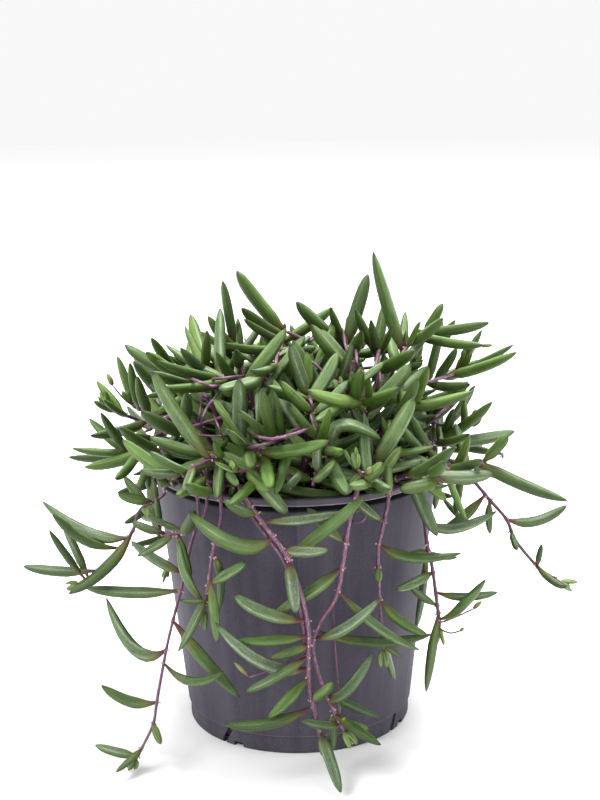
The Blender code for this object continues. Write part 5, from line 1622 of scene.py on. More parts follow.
@dataclass
class LeafyStem:
    """One stem of the plant with its leaves, bracts, young tuft and buds."""

    stem: Stem
    buds: list[Bud]
    runners: list[Runner]
    finger: FingerForm = FingerForm()
    trailing_finger: FingerForm = FingerForm(foot=0.27, full_from=(0.28, 0.46))
    tube: TubeForm = TubeForm()
    node_swell: float = 0.26
    uneven: float = 0.12
    node_width: float = 0.9 * MM
    bare_node_step: float = 11.0 * MM
    wander: float = 0.2 * MM
    wander_scale: float = 90.0
    wander_gap: float = 17.0
    bract_length: float = 1.1 * MM
    bract_radius: float = 0.36 * MM
    thin: float = 0.92
    trailing_thin: float = 1.0
    tuft_leaves: int = 4
    trailing_tuft_leaves: int = 3
    tuft_along: float = 0.4
    bare_tip_below: float = 124.0 * MM
    bare_tips: tuple[str, ...] = ("stem_top_left", "stem_hang_01")
    tuft_lengths: Span = (6.0, 10.0)
    tuft_radii: Span = (0.85, 1.35)
    tuft_youth: Span = (0.2, 0.6)
    tuft_bloom: float = 0.4
    ground_gap: float = 2.2 * MM
    side_reach: float = 75.0 * MM
    side_painted_shade: float = 0.55
    young_below: float = 19.0
    youth_range: float = 14.0
    youth_shares: Span = (0.3, 0.9)
    stray_youth: Span = (-0.5, 0.3)
    bloom_power: float = 1.8
    trailing_stalks_and_shade: Span = (0.6, 1.0)
    mound_stalks: Span = (0.0, 0.3)
    leaf_blushes: Span = (0.15, 1.0)
    stem_blushes: Span = (0.4, 1.0)
    stem_bloom: float = 0.3
    wander_shifts: Span = (0.0, 50.0)
    between_nodes: float = 0.94
    uneven_scale: float = 420.0
    blunt_tip: float = 0.55
    bract_out: float = 0.75
    bract_counts: tuple[int, int] = (2, 5)
    bract_leans: Span = (0.0, 1.2)
    bract_sizes: Span = (0.5, 1.1)
    bract_youth: Span = (0.0, 0.6)
    tuft_spread: Span = (0.16, 0.3)
    tuft_growth: Span = (0.75, 0.1)
    tuft_bow: float = 0.12
    trailing_tuft_lift: float = 0.2
    runner_taper: float = 0.15
    stalk_radius: float = 0.34 * MM
    stalk_step: float = 1.0 * MM
    stalk_youth: float = 0.3
    bud_youth: float = 0.9
    bud_blush: float = 0.8
    stalk_taper: Span = (1.25, 0.3)
    twig_radius: float = 0.62 * MM
    twig_taper: Span = (1.2, 0.25)
    twig_sag: float = 0.1
    twig_blush: float = 0.6
    shoot_sides: int = 9
    stalk_sides: int = 7
    twig_sides: int = 8
    bract_sides: int = 5

    def __post_init__(self) -> None:
        """Prepares the stem's own draws, its route and the place of each leaf on it."""
        self.draw = random.Random(self.stem.name)
        self.draft = MeshDraft()
        self.route = []
        shift = Vector([self.draw.uniform(*self.wander_shifts) for _ in range(3)])
        for place in self.stem.fine_route:
            spot = place * self.wander_scale + shift
            bend = Vector([noise.noise(spot + UP * (self.wander_gap * k)) for k in range(3)])
            self.route.append(place + bend * self.wander)
        self.feet = [self.nearest(leaf.foot) for leaf in self.stem.leaves]
        self.trails = self.stem.name.startswith(("stem_trail", "stem_hang"))

    def nearest(self, place: Vector) -> int:
        """The number of the route's point that is nearest to a place."""
        return min(range(len(self.route)), key=lambda k: (self.route[k] - place).length_squared)

    def along(self, number: int) -> Vector:
        """The direction of the stem at a point of its route."""
        before = self.route[max(number - 1, 0)]
        return (self.route[min(number + 1, len(self.route) - 1)] - before).normalized()

    def leaf_tint(self, leaf: Leaf) -> Tint:
        """What a leaf looks like: short ones are young, all vary a little, and leaves of trailing stems far to the
        side are painted darker and less young, a painted shade.

        Args:
            leaf: The leaf.

        Returns:
            Its tone, youth, blush, bloom and how much of it is stalk, a share that also paints trailing leaves darker
            as painted shade.
        """
        youth = held((self.young_below - leaf.length / MM) / self.youth_range)
        youth *= self.draw.uniform(*self.youth_shares)
        youth = max(youth, self.draw.uniform(*self.stray_youth), 0.0)
        bloom = self.draw.uniform(0.0, 1.0) ** self.bloom_power
        stalk = self.draw.uniform(*(self.trailing_stalks_and_shade if self.trails else self.mound_stalks))
        # Painted shade: leaves of trailing stems far to the side get a darker tone and less young colour.
        aside = min(abs(leaf.tip.x) / self.side_reach, 1.0) if self.trails else 0.0
        tone = self.draw.random() * (1.0 - self.side_painted_shade * aside)
        return Tint(tone, youth * (1.0 - 0.5 * aside), self.draw.uniform(*self.leaf_blushes), bloom, stalk)

    def nodes(self) -> list[int]:
        """The numbers of the route's points at nodes: the leaves' feet and some bare ones.

        Returns:
            The numbers in rising order.
        """
        found = set(self.feet)
        run = 0.0
        for k in range(1, len(self.route)):
            run += (self.route[k] - self.route[k - 1]).length
            if run > self.bare_node_step and self.route[k].z > POT.soil_middle:
                run = 0.0
                found.add(k)
            elif k in found:
                run = 0.0
        return sorted(found)

    def add_stem(self) -> None:
        """Adds the stem itself, a little thicker at each node."""
        nodes = self.nodes()
        last = len(self.route) - 1
        radii = []
        for k, place in enumerate(self.route):
            radius = HABIT.stem_radius + (HABIT.stem_tip_radius - HABIT.stem_radius) * k / last
            radius *= THICKNESS.get(self.stem.name, self.trailing_thin if self.trails else self.thin)
            near = min(((place - self.route[n]).length for n in nodes), default=1.0)
            swell = self.node_swell * math.exp(-((near / self.node_width) ** 2))
            uneven = noise.noise(place * self.uneven_scale) * self.uneven
            radii.append(radius * (self.between_nodes + swell + uneven))
        radii[-1] *= self.blunt_tip
        tint = Tint(self.draw.random(), 0.0, self.draw.uniform(*self.stem_blushes), self.stem_bloom)
        self.tube.add(self.draft, self.route, radii, tint, Skin.STEM)
        for node in nodes:
            self.add_bracts(node)

    def add_bracts(self, node: int) -> None:
        """Adds the few tiny pale bracts of a node.

        Args:
            node: The number of the node's point on the route.
        """
        along = self.along(node)
        side = along.orthogonal().normalized()
        over = along.cross(side)
        for _ in range(self.draw.randint(*self.bract_counts)):
            out = about(side, over, self.draw.uniform(0.0, math.tau))
            start = self.route[node] + out * (HABIT.stem_radius * self.bract_out)
            aim = (out + along * self.draw.uniform(*self.bract_leans)).normalized()
            end = start + aim * (self.bract_length * self.draw.uniform(*self.bract_sizes))
            tint = Tint(self.draw.random(), self.draw.uniform(*self.bract_youth), self.draw.random())
            self.tube.pointed(self.draft, start, end, self.bract_radius, tint, Skin.BRACT, self.bract_sides)

    def add_tuft(self) -> None:
        """Adds the tuft of very young leaves at the stem's tip."""
        tip = self.route[-1]
        along = self.along(len(self.route) - 1)
        side = along.orthogonal().normalized()
        over = along.cross(side)
        turn = self.draw.uniform(0.0, math.tau)
        count = self.trailing_tuft_leaves if self.trails else self.tuft_leaves
        for k in range(count):
            spread = self.tuft_spread[0] + self.tuft_spread[1] * k / count
            out = about(side, over, turn)
            length = self.draw.uniform(*self.tuft_lengths) * MM
            length *= self.tuft_growth[0] + self.tuft_growth[1] * k
            aim = (along * self.tuft_along + out * spread + UP * (1.0 - self.tuft_along)).normalized()
            if self.trails:
                aim = (along + out * spread + UP * self.trailing_tuft_lift).normalized()
            end = tip + aim * length
            end.z = max(end.z, self.ground_gap)
            bend = (tip + end) * 0.5 + out * (length * self.tuft_bow)
            bend.z = max(bend.z, self.ground_gap)
            leaf = Leaf(tip, bend, end, self.draw.uniform(*self.tuft_radii) * MM)
            tone, youth = self.draw.random(), self.draw.uniform(*self.tuft_youth)
            tint = Tint(tone, youth, self.draw.uniform(*self.stem_blushes), self.tuft_bloom)
            self.finger.add(self.draft, leaf, tip, along, tint)
            turn += HABIT.next_turn

    def add_shoot(self, route: list[Vector], radius: float, taper: Span, tint: Tint, sides: int) -> None:
        """Adds a bare shoot that gets thinner along its route.

        Args:
            route: The points of its middle line.
            radius: Half its usual thickness.
            taper: How thick it starts and how much it loses, as shares of the radius.
            tint: What it looks like.
            sides: How many sides it has.
        """
        radii = [radius * (taper[0] - taper[1] * k / len(route)) for k in range(len(route))]
        self.tube.add(self.draft, route, radii, tint, Skin.STEM, sides)

    def add_bud(self, bud: Bud) -> None:
        """Adds a flower bud on a thin stalk.

        Args:
            bud: The bud and its stalk.
        """
        start = self.route[self.nearest(bud.stalk[0])]
        route = smooth_route([start, *bud.stalk], self.stalk_step)
        tint = Tint(self.draw.random(), self.stalk_youth, 1.0)
        self.add_shoot(route, self.stalk_radius, self.stalk_taper, tint, self.stalk_sides)
        tint = Tint(self.draw.random(), self.bud_youth, self.bud_blush)
        self.tube.pointed(
            self.draft, bud.stalk[-1], bud.tip, bud.radius, tint, Skin.BRACT, self.shoot_sides
        )

    def add_runner(self, runner: Runner) -> None:
        """Adds a bare side shoot, a little thinner at its end.

        Args:
            runner: The side shoot.
        """
        last = len(runner.route) - 1
        radii = [runner.radius * (1.0 - self.runner_taper * k / last) for k in range(last + 1)]
        tint = Tint(runner.pink, 0.0, self.draw.random(), self.stem_bloom)
        self.tube.add(self.draft, runner.route, radii, tint, Skin.STEM, self.shoot_sides)

    def add_twig(self, leaf: Leaf, foot: int) -> None:
        """Adds the side twig of a leaf that grows away from the stem.

        Args:
            leaf: The leaf.
            foot: The point of the stem next to its foot.
        """
        start = self.route[foot]
        gap = leaf.foot - start
        if gap.length > self.finger.twig_from:
            sag = UP * (self.twig_sag * gap.length)
            route = smooth_route([start, start.lerp(leaf.foot, 0.5) - sag, leaf.foot], HABIT.twig_step)
            tint = Tint(self.draw.random(), 0.0, self.twig_blush)
            self.add_shoot(route, self.twig_radius, self.twig_taper, tint, self.twig_sides)

    def build(self, finishes: Sequence[Material]) -> Object:
        """Builds the piece in the place of its solid.

        Args:
            finishes: The materials, in the order of Skin.

        Returns:
            The new piece.
        """
        self.add_stem()
        finger = self.trailing_finger if self.trails else self.finger
        for leaf, foot in zip(self.stem.leaves, self.feet):
            finger.add(self.draft, leaf, self.route[foot], self.along(foot), self.leaf_tint(leaf))
            self.add_twig(leaf, foot)
        tufted = self.trails or self.route[-1].z > self.bare_tip_below
        if tufted and self.stem.name not in self.bare_tips:
            self.add_tuft()
        for bud in self.buds:
            self.add_bud(bud)
        for runner in self.runners:
            self.add_runner(runner)
        piece = self.draft.build(self.stem.name.replace("stem_", "leafy_"), finishes)
        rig.ride(piece, "root")
        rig.replaces(piece, self.stem.name)
        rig.slot(piece, "foliage")
        return piece


@dataclass(frozen=True)
class Grain:
    """How a pattern of noise is drawn: how finely, its stretch along each axis, and its detail."""

    scale: float
    detail: float
    roughness: float = 0.5
    stretch: Row = ()


@dataclass(frozen=True)
class Signal:
    """A value that varies over a surface, with the sums that the finishes are written in."""

    tree: bpy.types.NodeTree
    socket: bpy.types.NodeSocket

    def sum(self, operation: str, *values: Input, clamp: bool = False) -> Signal:
        """The result of a Math node."""
        settings = {"operation": operation, "use_clamp": clamp}
        return node(self.tree, "ShaderNodeMath", settings, dict(enumerate(values)))

    def __add__(self, other: Input) -> Signal:
        """This and the other value together."""
        return self.sum("ADD", self, other)

    __radd__ = __add__

    def __sub__(self, other: Input) -> Signal:
        """This less the other value."""
        return self.sum("SUBTRACT", self, other)

    def __rsub__(self, other: Input) -> Signal:
        """The other value less this."""
        return self.sum("SUBTRACT", other, self)

    def __mul__(self, other: Input) -> Signal:
        """This times the other value."""
        return self.sum("MULTIPLY", self, other)

    __rmul__ = __mul__

    def __pow__(self, other: Input) -> Signal:
        """This to the power of the other value."""
        return self.sum("POWER", self, other)

    def __abs__(self) -> Signal:
        """This without its sign."""
        return self.sum("ABSOLUTE", self)

    def held(self) -> Signal:
        """This, held between 0 and 1."""
        return self.sum("ADD", self, 0.0, clamp=True)

    def step(self, start: float, end: float) -> Signal:
        """A smooth step from 0 where this is start to 1 where it is end."""
        settings = {"interpolation_type": "SMOOTHSTEP"}
        return node(self.tree, "ShaderNodeMapRange", settings, {0: self, 1: start, 2: end})

    def blend(self, first: Input, second: Input) -> Signal:
        """The first colour where this is 0 or less, the second where it is 1 or more."""
        settings = {"data_type": "RGBA", "clamp_factor": True}
        return node(self.tree, "ShaderNodeMix", settings, {0: self, 6: first, 7: second}, 2)

    def stretched(self, scale: Sequence[float]) -> Signal:
        """This vector times another."""
        return node(self.tree, "ShaderNodeVectorMath", {"operation": "MULTIPLY"}, {0: self, 1: scale})

    def parts(self) -> tuple[Signal, Signal, Signal]:
        """The three numbers of this vector."""
        split = node(self.tree, "ShaderNodeSeparateXYZ", {}, {0: self}).socket.node
        return tuple(Signal(self.tree, output) for output in split.outputs)

    def noise(self, grain: Grain) -> Signal:
        """Noise from 0 to 1 at this place.

        Args:
            grain: How it is stretched and drawn.

        Returns:
            The noise.
        """
        place = self.stretched(grain.stretch) if grain.stretch else self
        inputs = {"Vector": place, "Scale": grain.scale, "Detail": grain.detail, "Roughness": grain.roughness}
        return node(self.tree, "ShaderNodeTexNoise", {}, inputs)

    def cells(self, scale: float) -> Signal:
        """The distance to the nearest of scattered points at this place."""
        return node(self.tree, "ShaderNodeTexVoronoi", {}, {"Vector": self, "Scale": scale})


Input = Signal | float | Sequence[float]


def node(
    tree: bpy.types.NodeTree, kind: str, settings: dict[str, object], inputs: dict[int | str, Input],
    output: int = 0,
) -> Signal:
    """Adds a node to a material.

    Args:
        tree: The material's nodes.
        kind: The node's type.
        settings: Its settings, which are set before its sockets.
        inputs: Each socket's value or what it is linked to, by the socket's number or name.
        output: The number of the output that is wanted.

    Returns:
        The wanted output.
    """
    added = tree.nodes.new(kind)
    for name, value in settings.items():
        setattr(added, name, value)
    for key, value in inputs.items():
        if isinstance(value, Signal):
            tree.links.new(value.socket, added.inputs[key])
        elif isinstance(value, (int, float)):
            added.inputs[key].default_value = value
        else:
            wanted = len(added.inputs[key].default_value)
            added.inputs[key].default_value = (*value, 1.0)[:wanted]
    return Signal(tree, added.outputs[output])


class Surface:
    """One material under construction: its shader and the marks that it reads."""

    def __init__(self, name: str, **constants: object) -> None:
        """Starts a material.

        Args:
            name: Its name.
            constants: Fixed values of the shader's sockets, with _ for each space in their names.
        """
        self.material = bpy.data.materials.new(name)
        self.material.use_nodes = True
        self.tree = self.material.node_tree
        self.shader = self.tree.nodes["Principled BSDF"]
        for key, value in constants.items():
            self.shader.inputs[key.replace("_", " ").title().replace("Ior", "IOR")].default_value = value

    def mark(self, name: str) -> Signal:
        """A mark that the mesh carries, as a vector."""
        return node(self.tree, "ShaderNodeAttribute", {"attribute_name": name}, {}, 1)

    def place(self) -> Signal:
        """The place on the object, in metres."""
        return node(self.tree, "ShaderNodeTexCoord", {}, {}, 3)

    def bump(self, height: Signal, distance: float, strength: float = 1.0) -> Signal:
        """The normal of a surface with that height, which is a share of the distance."""
        inputs = {"Height": height, "Distance": distance, "Strength": strength}
        return node(self.tree, "ShaderNodeBump", {}, inputs)

    def finish(self, colour: Signal, roughness: Signal, normal: Signal) -> Material:
        """Links what varies to the shader and gives the material.

        Args:
            colour: The base colour.
            roughness: How dull it is.
            normal: The relief.

        Returns:
            The material.
        """
        for name, signal in (("Base Color", colour), ("Roughness", roughness), ("Normal", normal)):
            self.tree.links.new(signal.socket, self.shader.inputs[name])
        return self.material


@dataclass(frozen=True)
class LeafFinish:
    """Waxy green skin with purple tips and feet, paler on young leaves; the side facing up and out is painted paler
    with a painted highlight streak, and the other side and trailing leaves are painted darker as painted shade.
    """

    deep: Colour = (0.018, 0.045, 0.003)
    middle: Colour = (0.056, 0.12, 0.01)
    light: Colour = (0.12, 0.215, 0.022)
    young: Colour = (0.17, 0.25, 0.03)
    waxy: Colour = (0.225, 0.275, 0.205)
    # The colour of the painted highlight streak.
    painted_highlight: Colour = (0.42, 0.47, 0.36)
    purple: Colour = (0.022, 0.008, 0.014)
    rosy: Colour = (0.085, 0.024, 0.03)
    olive: Colour = (0.11, 0.1, 0.02)
    # The dark green of the painted shade on each leaf's lower side.
    under: Colour = (0.016, 0.034, 0.003)
    patches: Grain = Grain(1.0, 2.0, stretch=(0.3, 0.12, 1.0))
    fine: Grain = Grain(2.4, 4.0, 0.68, (1.0, 0.4, 1.0))
    ridges: Grain = Grain(1.7, 3.0, 0.55, (1.0, 0.07, 1.0))
    relief: float = 0.3 * MM

    def build(self) -> Material:
        """Makes the material.

        Returns:
            The leaf skin.
        """
        skin = Surface(
            "leaf skin", subsurface_weight=0.12, subsurface_radius=(0.5, 1.0, 0.25),
            subsurface_scale=1.6 * MM, coat_weight=0.13, coat_roughness=0.26, specular_ior_level=0.26,
        )
        share, up, bloom = skin.mark("form").parts()
        tone, youth, blush = skin.mark("tint").parts()
        grain = skin.mark("place")
        stalk = grain.parts()[2]
        patches = grain.noise(self.patches)
        fine = grain.noise(self.fine)
        ridges = grain.noise(self.ridges)
        # The stalk share darkens trailing leaves as painted shade.
        shade = tone * 0.8 + patches * 0.7 - 0.14 - stalk * 0.33
        green = shade.step(0.0, 0.62).blend(self.deep, self.middle)
        green = shade.step(0.5, 1.15).blend(green, self.light)
        green = (youth * (0.55 + patches * 0.6)).blend(green, self.young)
        # Painted shade: the side facing down and inward is painted darker, more so on trailing leaves.
        below = (0.0 - up).step(-0.4, 0.6)
        green = (below * (0.55 + stalk * 0.42)).blend(green, self.under)
        frost = 0.4 + fine.step(0.42, 0.66) * 0.6
        # Waxy bloom, partly real and partly a painted sheen: it is paler on the side facing up and out.
        wax_and_painted_sheen = (0.2 + up.step(-0.2, 0.9) * 0.8) * (0.1 + bloom * 0.64) * frost * (1.0 - youth * 0.4)
        green = wax_and_painted_sheen.blend(green, self.waxy)
        dark_lines = (1.0 - ridges.step(0.32, 0.5)) * 0.62
        green = dark_lines.blend(green, self.deep)
        # Painted highlight: a pale streak along the side facing up and out, weaker on trailing leaves.
        lengthwise = (1.0 - share.step(0.8, 0.97)) * share.step(0.1, 0.3)
        highlight_band = (1.0 - abs(up - 0.72) * 5.0).held() * lengthwise
        painted_glow = highlight_band * (0.4 + patches.step(0.3, 0.6) * 0.6) * (0.1 + frost * 0.6) * (0.3 + bloom * 1.1)
        green = (painted_glow * (1.0 - stalk * 0.4)).blend(green, self.painted_highlight)
        edge = (1.0 - abs(up + 0.15)).step(0.75, 1.0) * blush * 0.62 * share.step(0.25, 0.6)
        olive = (1.0 - (share - stalk * 0.16).step(0.05, 0.3)) * (0.25 + blush * 0.5)
        green = olive.blend(green, self.olive)
        foot = (1.0 - (share - stalk * 0.09).step(0.0, 0.13)) * (0.35 + blush * 0.5 + stalk * 0.4)
        tip = share.step(0.93, 0.995) * (0.5 + blush * 0.5)
        green = (foot * (1.1 - youth * 0.5)).blend(green, self.rosy)
        green = (edge + tip).blend(green, self.purple)
        speckle = fine.step(0.25, 0.8)
        green = (speckle * 0.14).blend(green, self.middle)
        rough = 0.4 + bloom * 0.2 + fine * 0.16 - youth * 0.04
        height = ridges * 0.7 + fine * 0.3
        return skin.finish(green, rough, skin.bump(height, self.relief, 0.9))


@dataclass(frozen=True)
class StemFinish:
    """Purple skin with pink streaks, painted pinker and with pale glints on its upper and outer side as a painted
    sheen, browner near the soil and greener at the tip.
    """

    purple: Colour = (0.038, 0.01, 0.028)
    pink: Colour = (0.15, 0.046, 0.106)
    # The colour of the painted glints.
    pale: Colour = (0.52, 0.34, 0.44)
    brown: Colour = (0.045, 0.02, 0.022)
    green: Colour = (0.13, 0.11, 0.045)
    streaks: Grain = Grain(1.4, 4.0, 0.65, (1.5, 0.3, 1.0))
    patches: Grain = Grain(1.0, 2.0, stretch=(0.2, 0.09, 1.0))
    relief: float = 0.34 * MM

    def build(self) -> Material:
        """Makes the material.

        Returns:
            The stem skin.
        """
        skin = Surface("stem skin", coat_weight=0.1, coat_roughness=0.35, specular_ior_level=0.45)
        share, lit, _ = skin.mark("form").parts()
        tone, _, _ = skin.mark("tint").parts()
        grain = skin.mark("place")
        streaks = grain.noise(self.streaks)
        patches = grain.noise(self.patches)
        # Pink partly from streaks and tone, partly a painted sheen on the lit side.
        pink_and_painted_sheen = lit.step(-0.1, 0.95) * 0.5 + streaks.step(0.4, 0.7) * 0.35 + tone * 0.15
        colour = pink_and_painted_sheen.blend(self.purple, self.pink)
        # Painted highlight: pale glints on the lit side.
        painted_glints = streaks.step(0.46, 0.66) * lit.step(0.35, 0.8) * 0.6
        colour = painted_glints.blend(colour, self.pale)
        colour = ((1.0 - share.step(0.05, 0.4)) * 0.75).blend(colour, self.brown)
        colour = (share.step(0.86, 1.0) * patches.step(0.3, 0.7) * 0.55).blend(colour, self.green)
        rough = 0.4 + streaks * 0.22
        return skin.finish(colour, rough, skin.bump(streaks, self.relief, 0.9))


@dataclass(frozen=True)
class BractFinish:
    """Pale scales at the nodes, and buds that are yellow-green with a brown foot."""

    cream: Colour = (0.5, 0.34, 0.36)
    straw: Colour = (0.4, 0.28, 0.2)
    bud: Colour = (0.15, 0.19, 0.05)
    brown: Colour = (0.09, 0.032, 0.03)
    grain: Grain = Grain(1.6, 3.0, stretch=(1.0, 0.5, 1.0))
    relief: float = 0.18 * MM

    def build(self) -> Material:
        """Makes the material.

        Returns:
            The bract skin.
        """
        skin = Surface("bract and bud", subsurface_weight=0.1, subsurface_scale=0.8 * MM)
        share, _, _ = skin.mark("form").parts()
        tone, youth, _ = skin.mark("tint").parts()
        grain = skin.mark("place").noise(self.grain)
        colour = tone.blend(self.cream, self.straw)
        colour = youth.step(0.65, 0.85).blend(colour, self.bud)
        foot = youth.step(0.65, 0.85) * (1.0 - (share + grain * 0.3).step(0.35, 0.8))
        colour = foot.blend(colour, self.brown)
        colour = (grain.step(0.45, 0.8) * 0.3).blend(colour, self.straw)
        return skin.finish(colour, 0.45 + grain * 0.25, skin.bump(grain, self.relief, 0.7))


@dataclass(frozen=True)
class PlasticFinish:
    """Satin dark grey plastic with faint streaks down the wall, dust and light scuffs, a lip face painted paler, thin
    painted highlights on the lip's edge and the foot step, and a painted shadow in the groove under the lip.
    """

    base: Colour = (0.034, 0.03, 0.045)
    pale: Colour = (0.073, 0.066, 0.091)
    dust: Colour = (0.13, 0.12, 0.125)
    painted_lip_light: Colour = (0.13, 0.115, 0.15)
    # The colour of the thin painted highlights on the lip's lower edge and the foot step.
    line: Colour = (0.42, 0.4, 0.43)
    shadow: Colour = (0.0015, 0.0012, 0.0018)
    streaks: Grain = Grain(1.0, 4.0, 0.55, (220.0, 14.0, 1.0))
    clouds: Grain = Grain(1.0, 3.0, stretch=(34.0, 20.0, 1.0))
    grain: Grain = Grain(2600.0, 2.0)
    scuffs: Grain = Grain(1.0, 5.0, 0.7, (60.0, 420.0, 1.0))
    lines: Grain = Grain(1.0, 3.0, stretch=(70.0, 3.0, 1.0))
    wall_radius: float = 55.0 * MM
    relief: float = 0.36 * MM

    def build(self) -> Material:
        """Makes the material.

        Returns:
            The plastic of the pot.
        """
        skin = Surface("pot plastic", specular_ior_level=0.12)
        place = skin.place()
        across, deep, height = place.parts()
        around = across.sum("ARCTAN2", across, deep) * self.wall_radius
        wall = node(skin.tree, "ShaderNodeCombineXYZ", {}, {0: around, 1: height, 2: 0.0})
        streaks = wall.noise(self.streaks)
        clouds = wall.noise(self.clouds)
        grain = place.noise(self.grain)
        scuffs = wall.noise(self.scuffs).step(0.66, 0.8)
        lines = wall.noise(self.lines)
        pale = streaks.step(0.35, 0.7) * 0.24 + clouds.step(0.3, 0.75) * 0.34 + lines.step(0.42, 0.62) * 0.4
        colour = pale.blend(self.base, self.pale)
        dusty = (1.0 - height.step(0.002, 0.03)) * 0.28 + height.step(0.1, 0.113) * 0.2
        dusty = dusty * grain.step(0.3, 0.7) + scuffs * 0.18 + grain.step(0.45, 0.75) * 0.3
        colour = (dusty * (0.4 + clouds)).blend(colour, self.dust)
        away = (across * across + deep * deep) ** 0.5
        outside = away.step(POT.wall_top - 0.9 * MM, POT.wall_top - 0.3 * MM)
        # Painted light: the lip's outer face is painted paler than the wall.
        lip = height.step(POT.lip_low - 0.3 * MM, POT.lip_low + 0.4 * MM) * outside
        colour = (lip * (0.35 + clouds * 0.5)).blend(colour, self.painted_lip_light)
        # Painted highlight: a thin pale line along the lip's lower edge.
        edge = (1.0 - abs(height - (POT.lip_low + 0.2 * MM)) * 2200.0).held() * outside
        colour = (edge * (0.2 + streaks * 0.8)).blend(colour, self.line)
        # Painted highlight: a thin pale line at the foot step.
        step = (1.0 - abs(height - POT.foot_height) * 1900.0).held()
        colour = (step * (0.08 + clouds * 0.4)).blend(colour, self.line)
        # Painted shadow: the groove under the lip is painted near black.
        groove = height.step(POT.groove_low - 0.8 * MM, POT.groove_low + 0.4 * MM)
        groove = groove * (1.0 - height.step(POT.lip_low - 0.3 * MM, POT.lip_low))
        colour = (groove * 0.97).blend(colour, self.shadow)
        rough = 0.5 + streaks * 0.1 + clouds * 0.08 + dusty * 0.3
        rough = (rough + groove * 0.4).held()
        relief = grain * 0.3 + streaks * 0.3 + lines * 0.4
        return skin.finish(colour, rough, skin.bump(relief, self.relief, 0.8))


@dataclass(frozen=True)
class SoilFinish:
    """Dark potting soil: brown to black, with pale fibres."""

    black: Colour = (0.012, 0.009, 0.007)
    brown: Colour = (0.06, 0.036, 0.022)
    fibre: Colour = (0.2, 0.135, 0.08)
    lumps: Grain = Grain(420.0, 5.0, 0.65)
    fibres: Grain = Grain(1.0, 3.0, 0.6, (900.0, 160.0, 400.0))
    cell_scale: float = 700.0
    relief: float = 0.9 * MM

    def build(self) -> Material:
        """Makes the material.

        Returns:
            The soil.
        """
        skin = Surface("potting soil")
        place = skin.place()
        lumps = place.noise(self.lumps)
        cells = place.cells(self.cell_scale)
        fibres = place.noise(self.fibres).step(0.62, 0.7)
        tone = skin.mark("tint").parts()[0]
        colour = (lumps.step(0.3, 0.7) * 0.7 + tone * 0.3).blend(self.black, self.brown)
        colour = (fibres * 0.5 + tone.step(0.82, 1.0) * 0.8).blend(colour, self.fibre)
        rough = 0.78 + lumps * 0.2
        return skin.finish(colour, rough, skin.bump(lumps * 0.6 + cells * 0.4, self.relief, 0.9))


@dataclass(frozen=True)
class FloorFinish:
    """The plain pale floor, with the faintest mottling."""

    pale: Colour = (0.94, 0.94, 0.94)
    paler: Colour = (0.96, 0.96, 0.96)
    mottle: Grain = Grain(6.0, 3.0)
    grain: Grain = Grain(900.0, 2.0)
    relief: float = 0.05 * MM

    def build(self) -> Material:
        """Makes the material.

        Returns:
            The floor's paint.
        """
        skin = Surface("plain floor", specular_ior_level=0.1)
        mottle = skin.place().noise(self.mottle)
        grain = skin.place().noise(self.grain)
        normal = skin.bump(grain, self.relief)
        return skin.finish(mottle.blend(self.pale, self.paler), 0.75 + mottle * 0.1, normal)


def rounded(corners: Rows, steps: int = 4) -> list[Span]:
    """An outline with rounded corners.

    Args:
        corners: Each corner's radius from the axis, its height and the size of its rounding.
        steps: How many pieces each rounding is made of.

    Returns:
        The outline's points, as (radius, height).
    """
    outline: list[Span] = []
    for k, (across, height, size) in enumerate(corners):
        if not size:
            outline.append((across, height))
            continue
        corner = Vector((across, height))
        start = corner + (Vector(corners[k - 1][:2]) - corner).normalized() * size
        end = corner + (Vector(corners[k + 1][:2]) - corner).normalized() * size
        outline += [tuple(curve(start, corner, end, i / steps)) for i in range(steps + 1)]
    return outline


def divided(outline: Sequence[Span], longest: float) -> list[Span]:
    """An outline with its long runs divided into pieces of at most that length.

    Args:
        outline: The points of the outline.
        longest: The greatest length of a piece.

    Returns:
        The points with the new ones between them.
    """
    points = [outline[0]]
    for start, end in zip(outline, outline[1:]):
        pieces = max(1, math.ceil(math.dist(start, end) / longest))
        for k in range(1, pieces + 1):
            t = k / pieces
            points.append((start[0] + (end[0] - start[0]) * t, start[1] + (end[1] - start[1]) * t))
    return points


def turned_mesh(
    name: str, outline: Sequence[Span], sides: int, shift: Callable[[Vector], Vector]
) -> Mesh:
    """A closed mesh turned about the upright axis.

    Args:
        name: The mesh's name.
        outline: Its (radius, height) points, from the axis round to the axis again.
        sides: How many sides it has.
        shift: Gives where a point goes instead, for waves and lumps.

    Returns:
        The mesh, with its faces outward.
    """
    shape = bmesh.new()
    rings = []
    for radius, height in outline:
        count = sides if radius > ON_AXIS else 1
        turns = [math.tau * k / sides for k in range(count)]
        places = [Vector((radius * math.cos(t), radius * math.sin(t), height)) for t in turns]
        rings.append([shape.verts.new(shift(place)) for place in places])
    for first, second in zip(rings, rings[1:]):
        for k in range(sides):
            corners = [first[k % len(first)], first[(k + 1) % len(first)]]
            corners += [second[(k + 1) % len(second)], second[k % len(second)]]
            shape.faces.new(list(dict.fromkeys(corners)))
    bmesh.ops.recalc_face_normals(shape, faces=shape.faces)
    return finished_mesh(name, shape)


def finished_mesh(name: str, shape: bmesh.types.BMesh) -> Mesh:
    """A shape under construction, turned into a mesh.

    Args:
        name: The mesh's name.
        shape: The shape, which is used up.

    Returns:
        The mesh.
    """
    mesh = bpy.data.meshes.new(name)
    shape.to_mesh(mesh)
    shape.free()
    return mesh


def add_piece(name: str, mesh: Mesh, finish: Material) -> Object:
    """Adds a piece of one material to the scene."""
    mesh.materials.append(finish)
    return add_object(name, mesh)


class Hole(Enum):
    """What a hole in the pot is shaped like."""

    SLOT = "a unit box"
    DRAIN = "a round pin of unit radius and height"


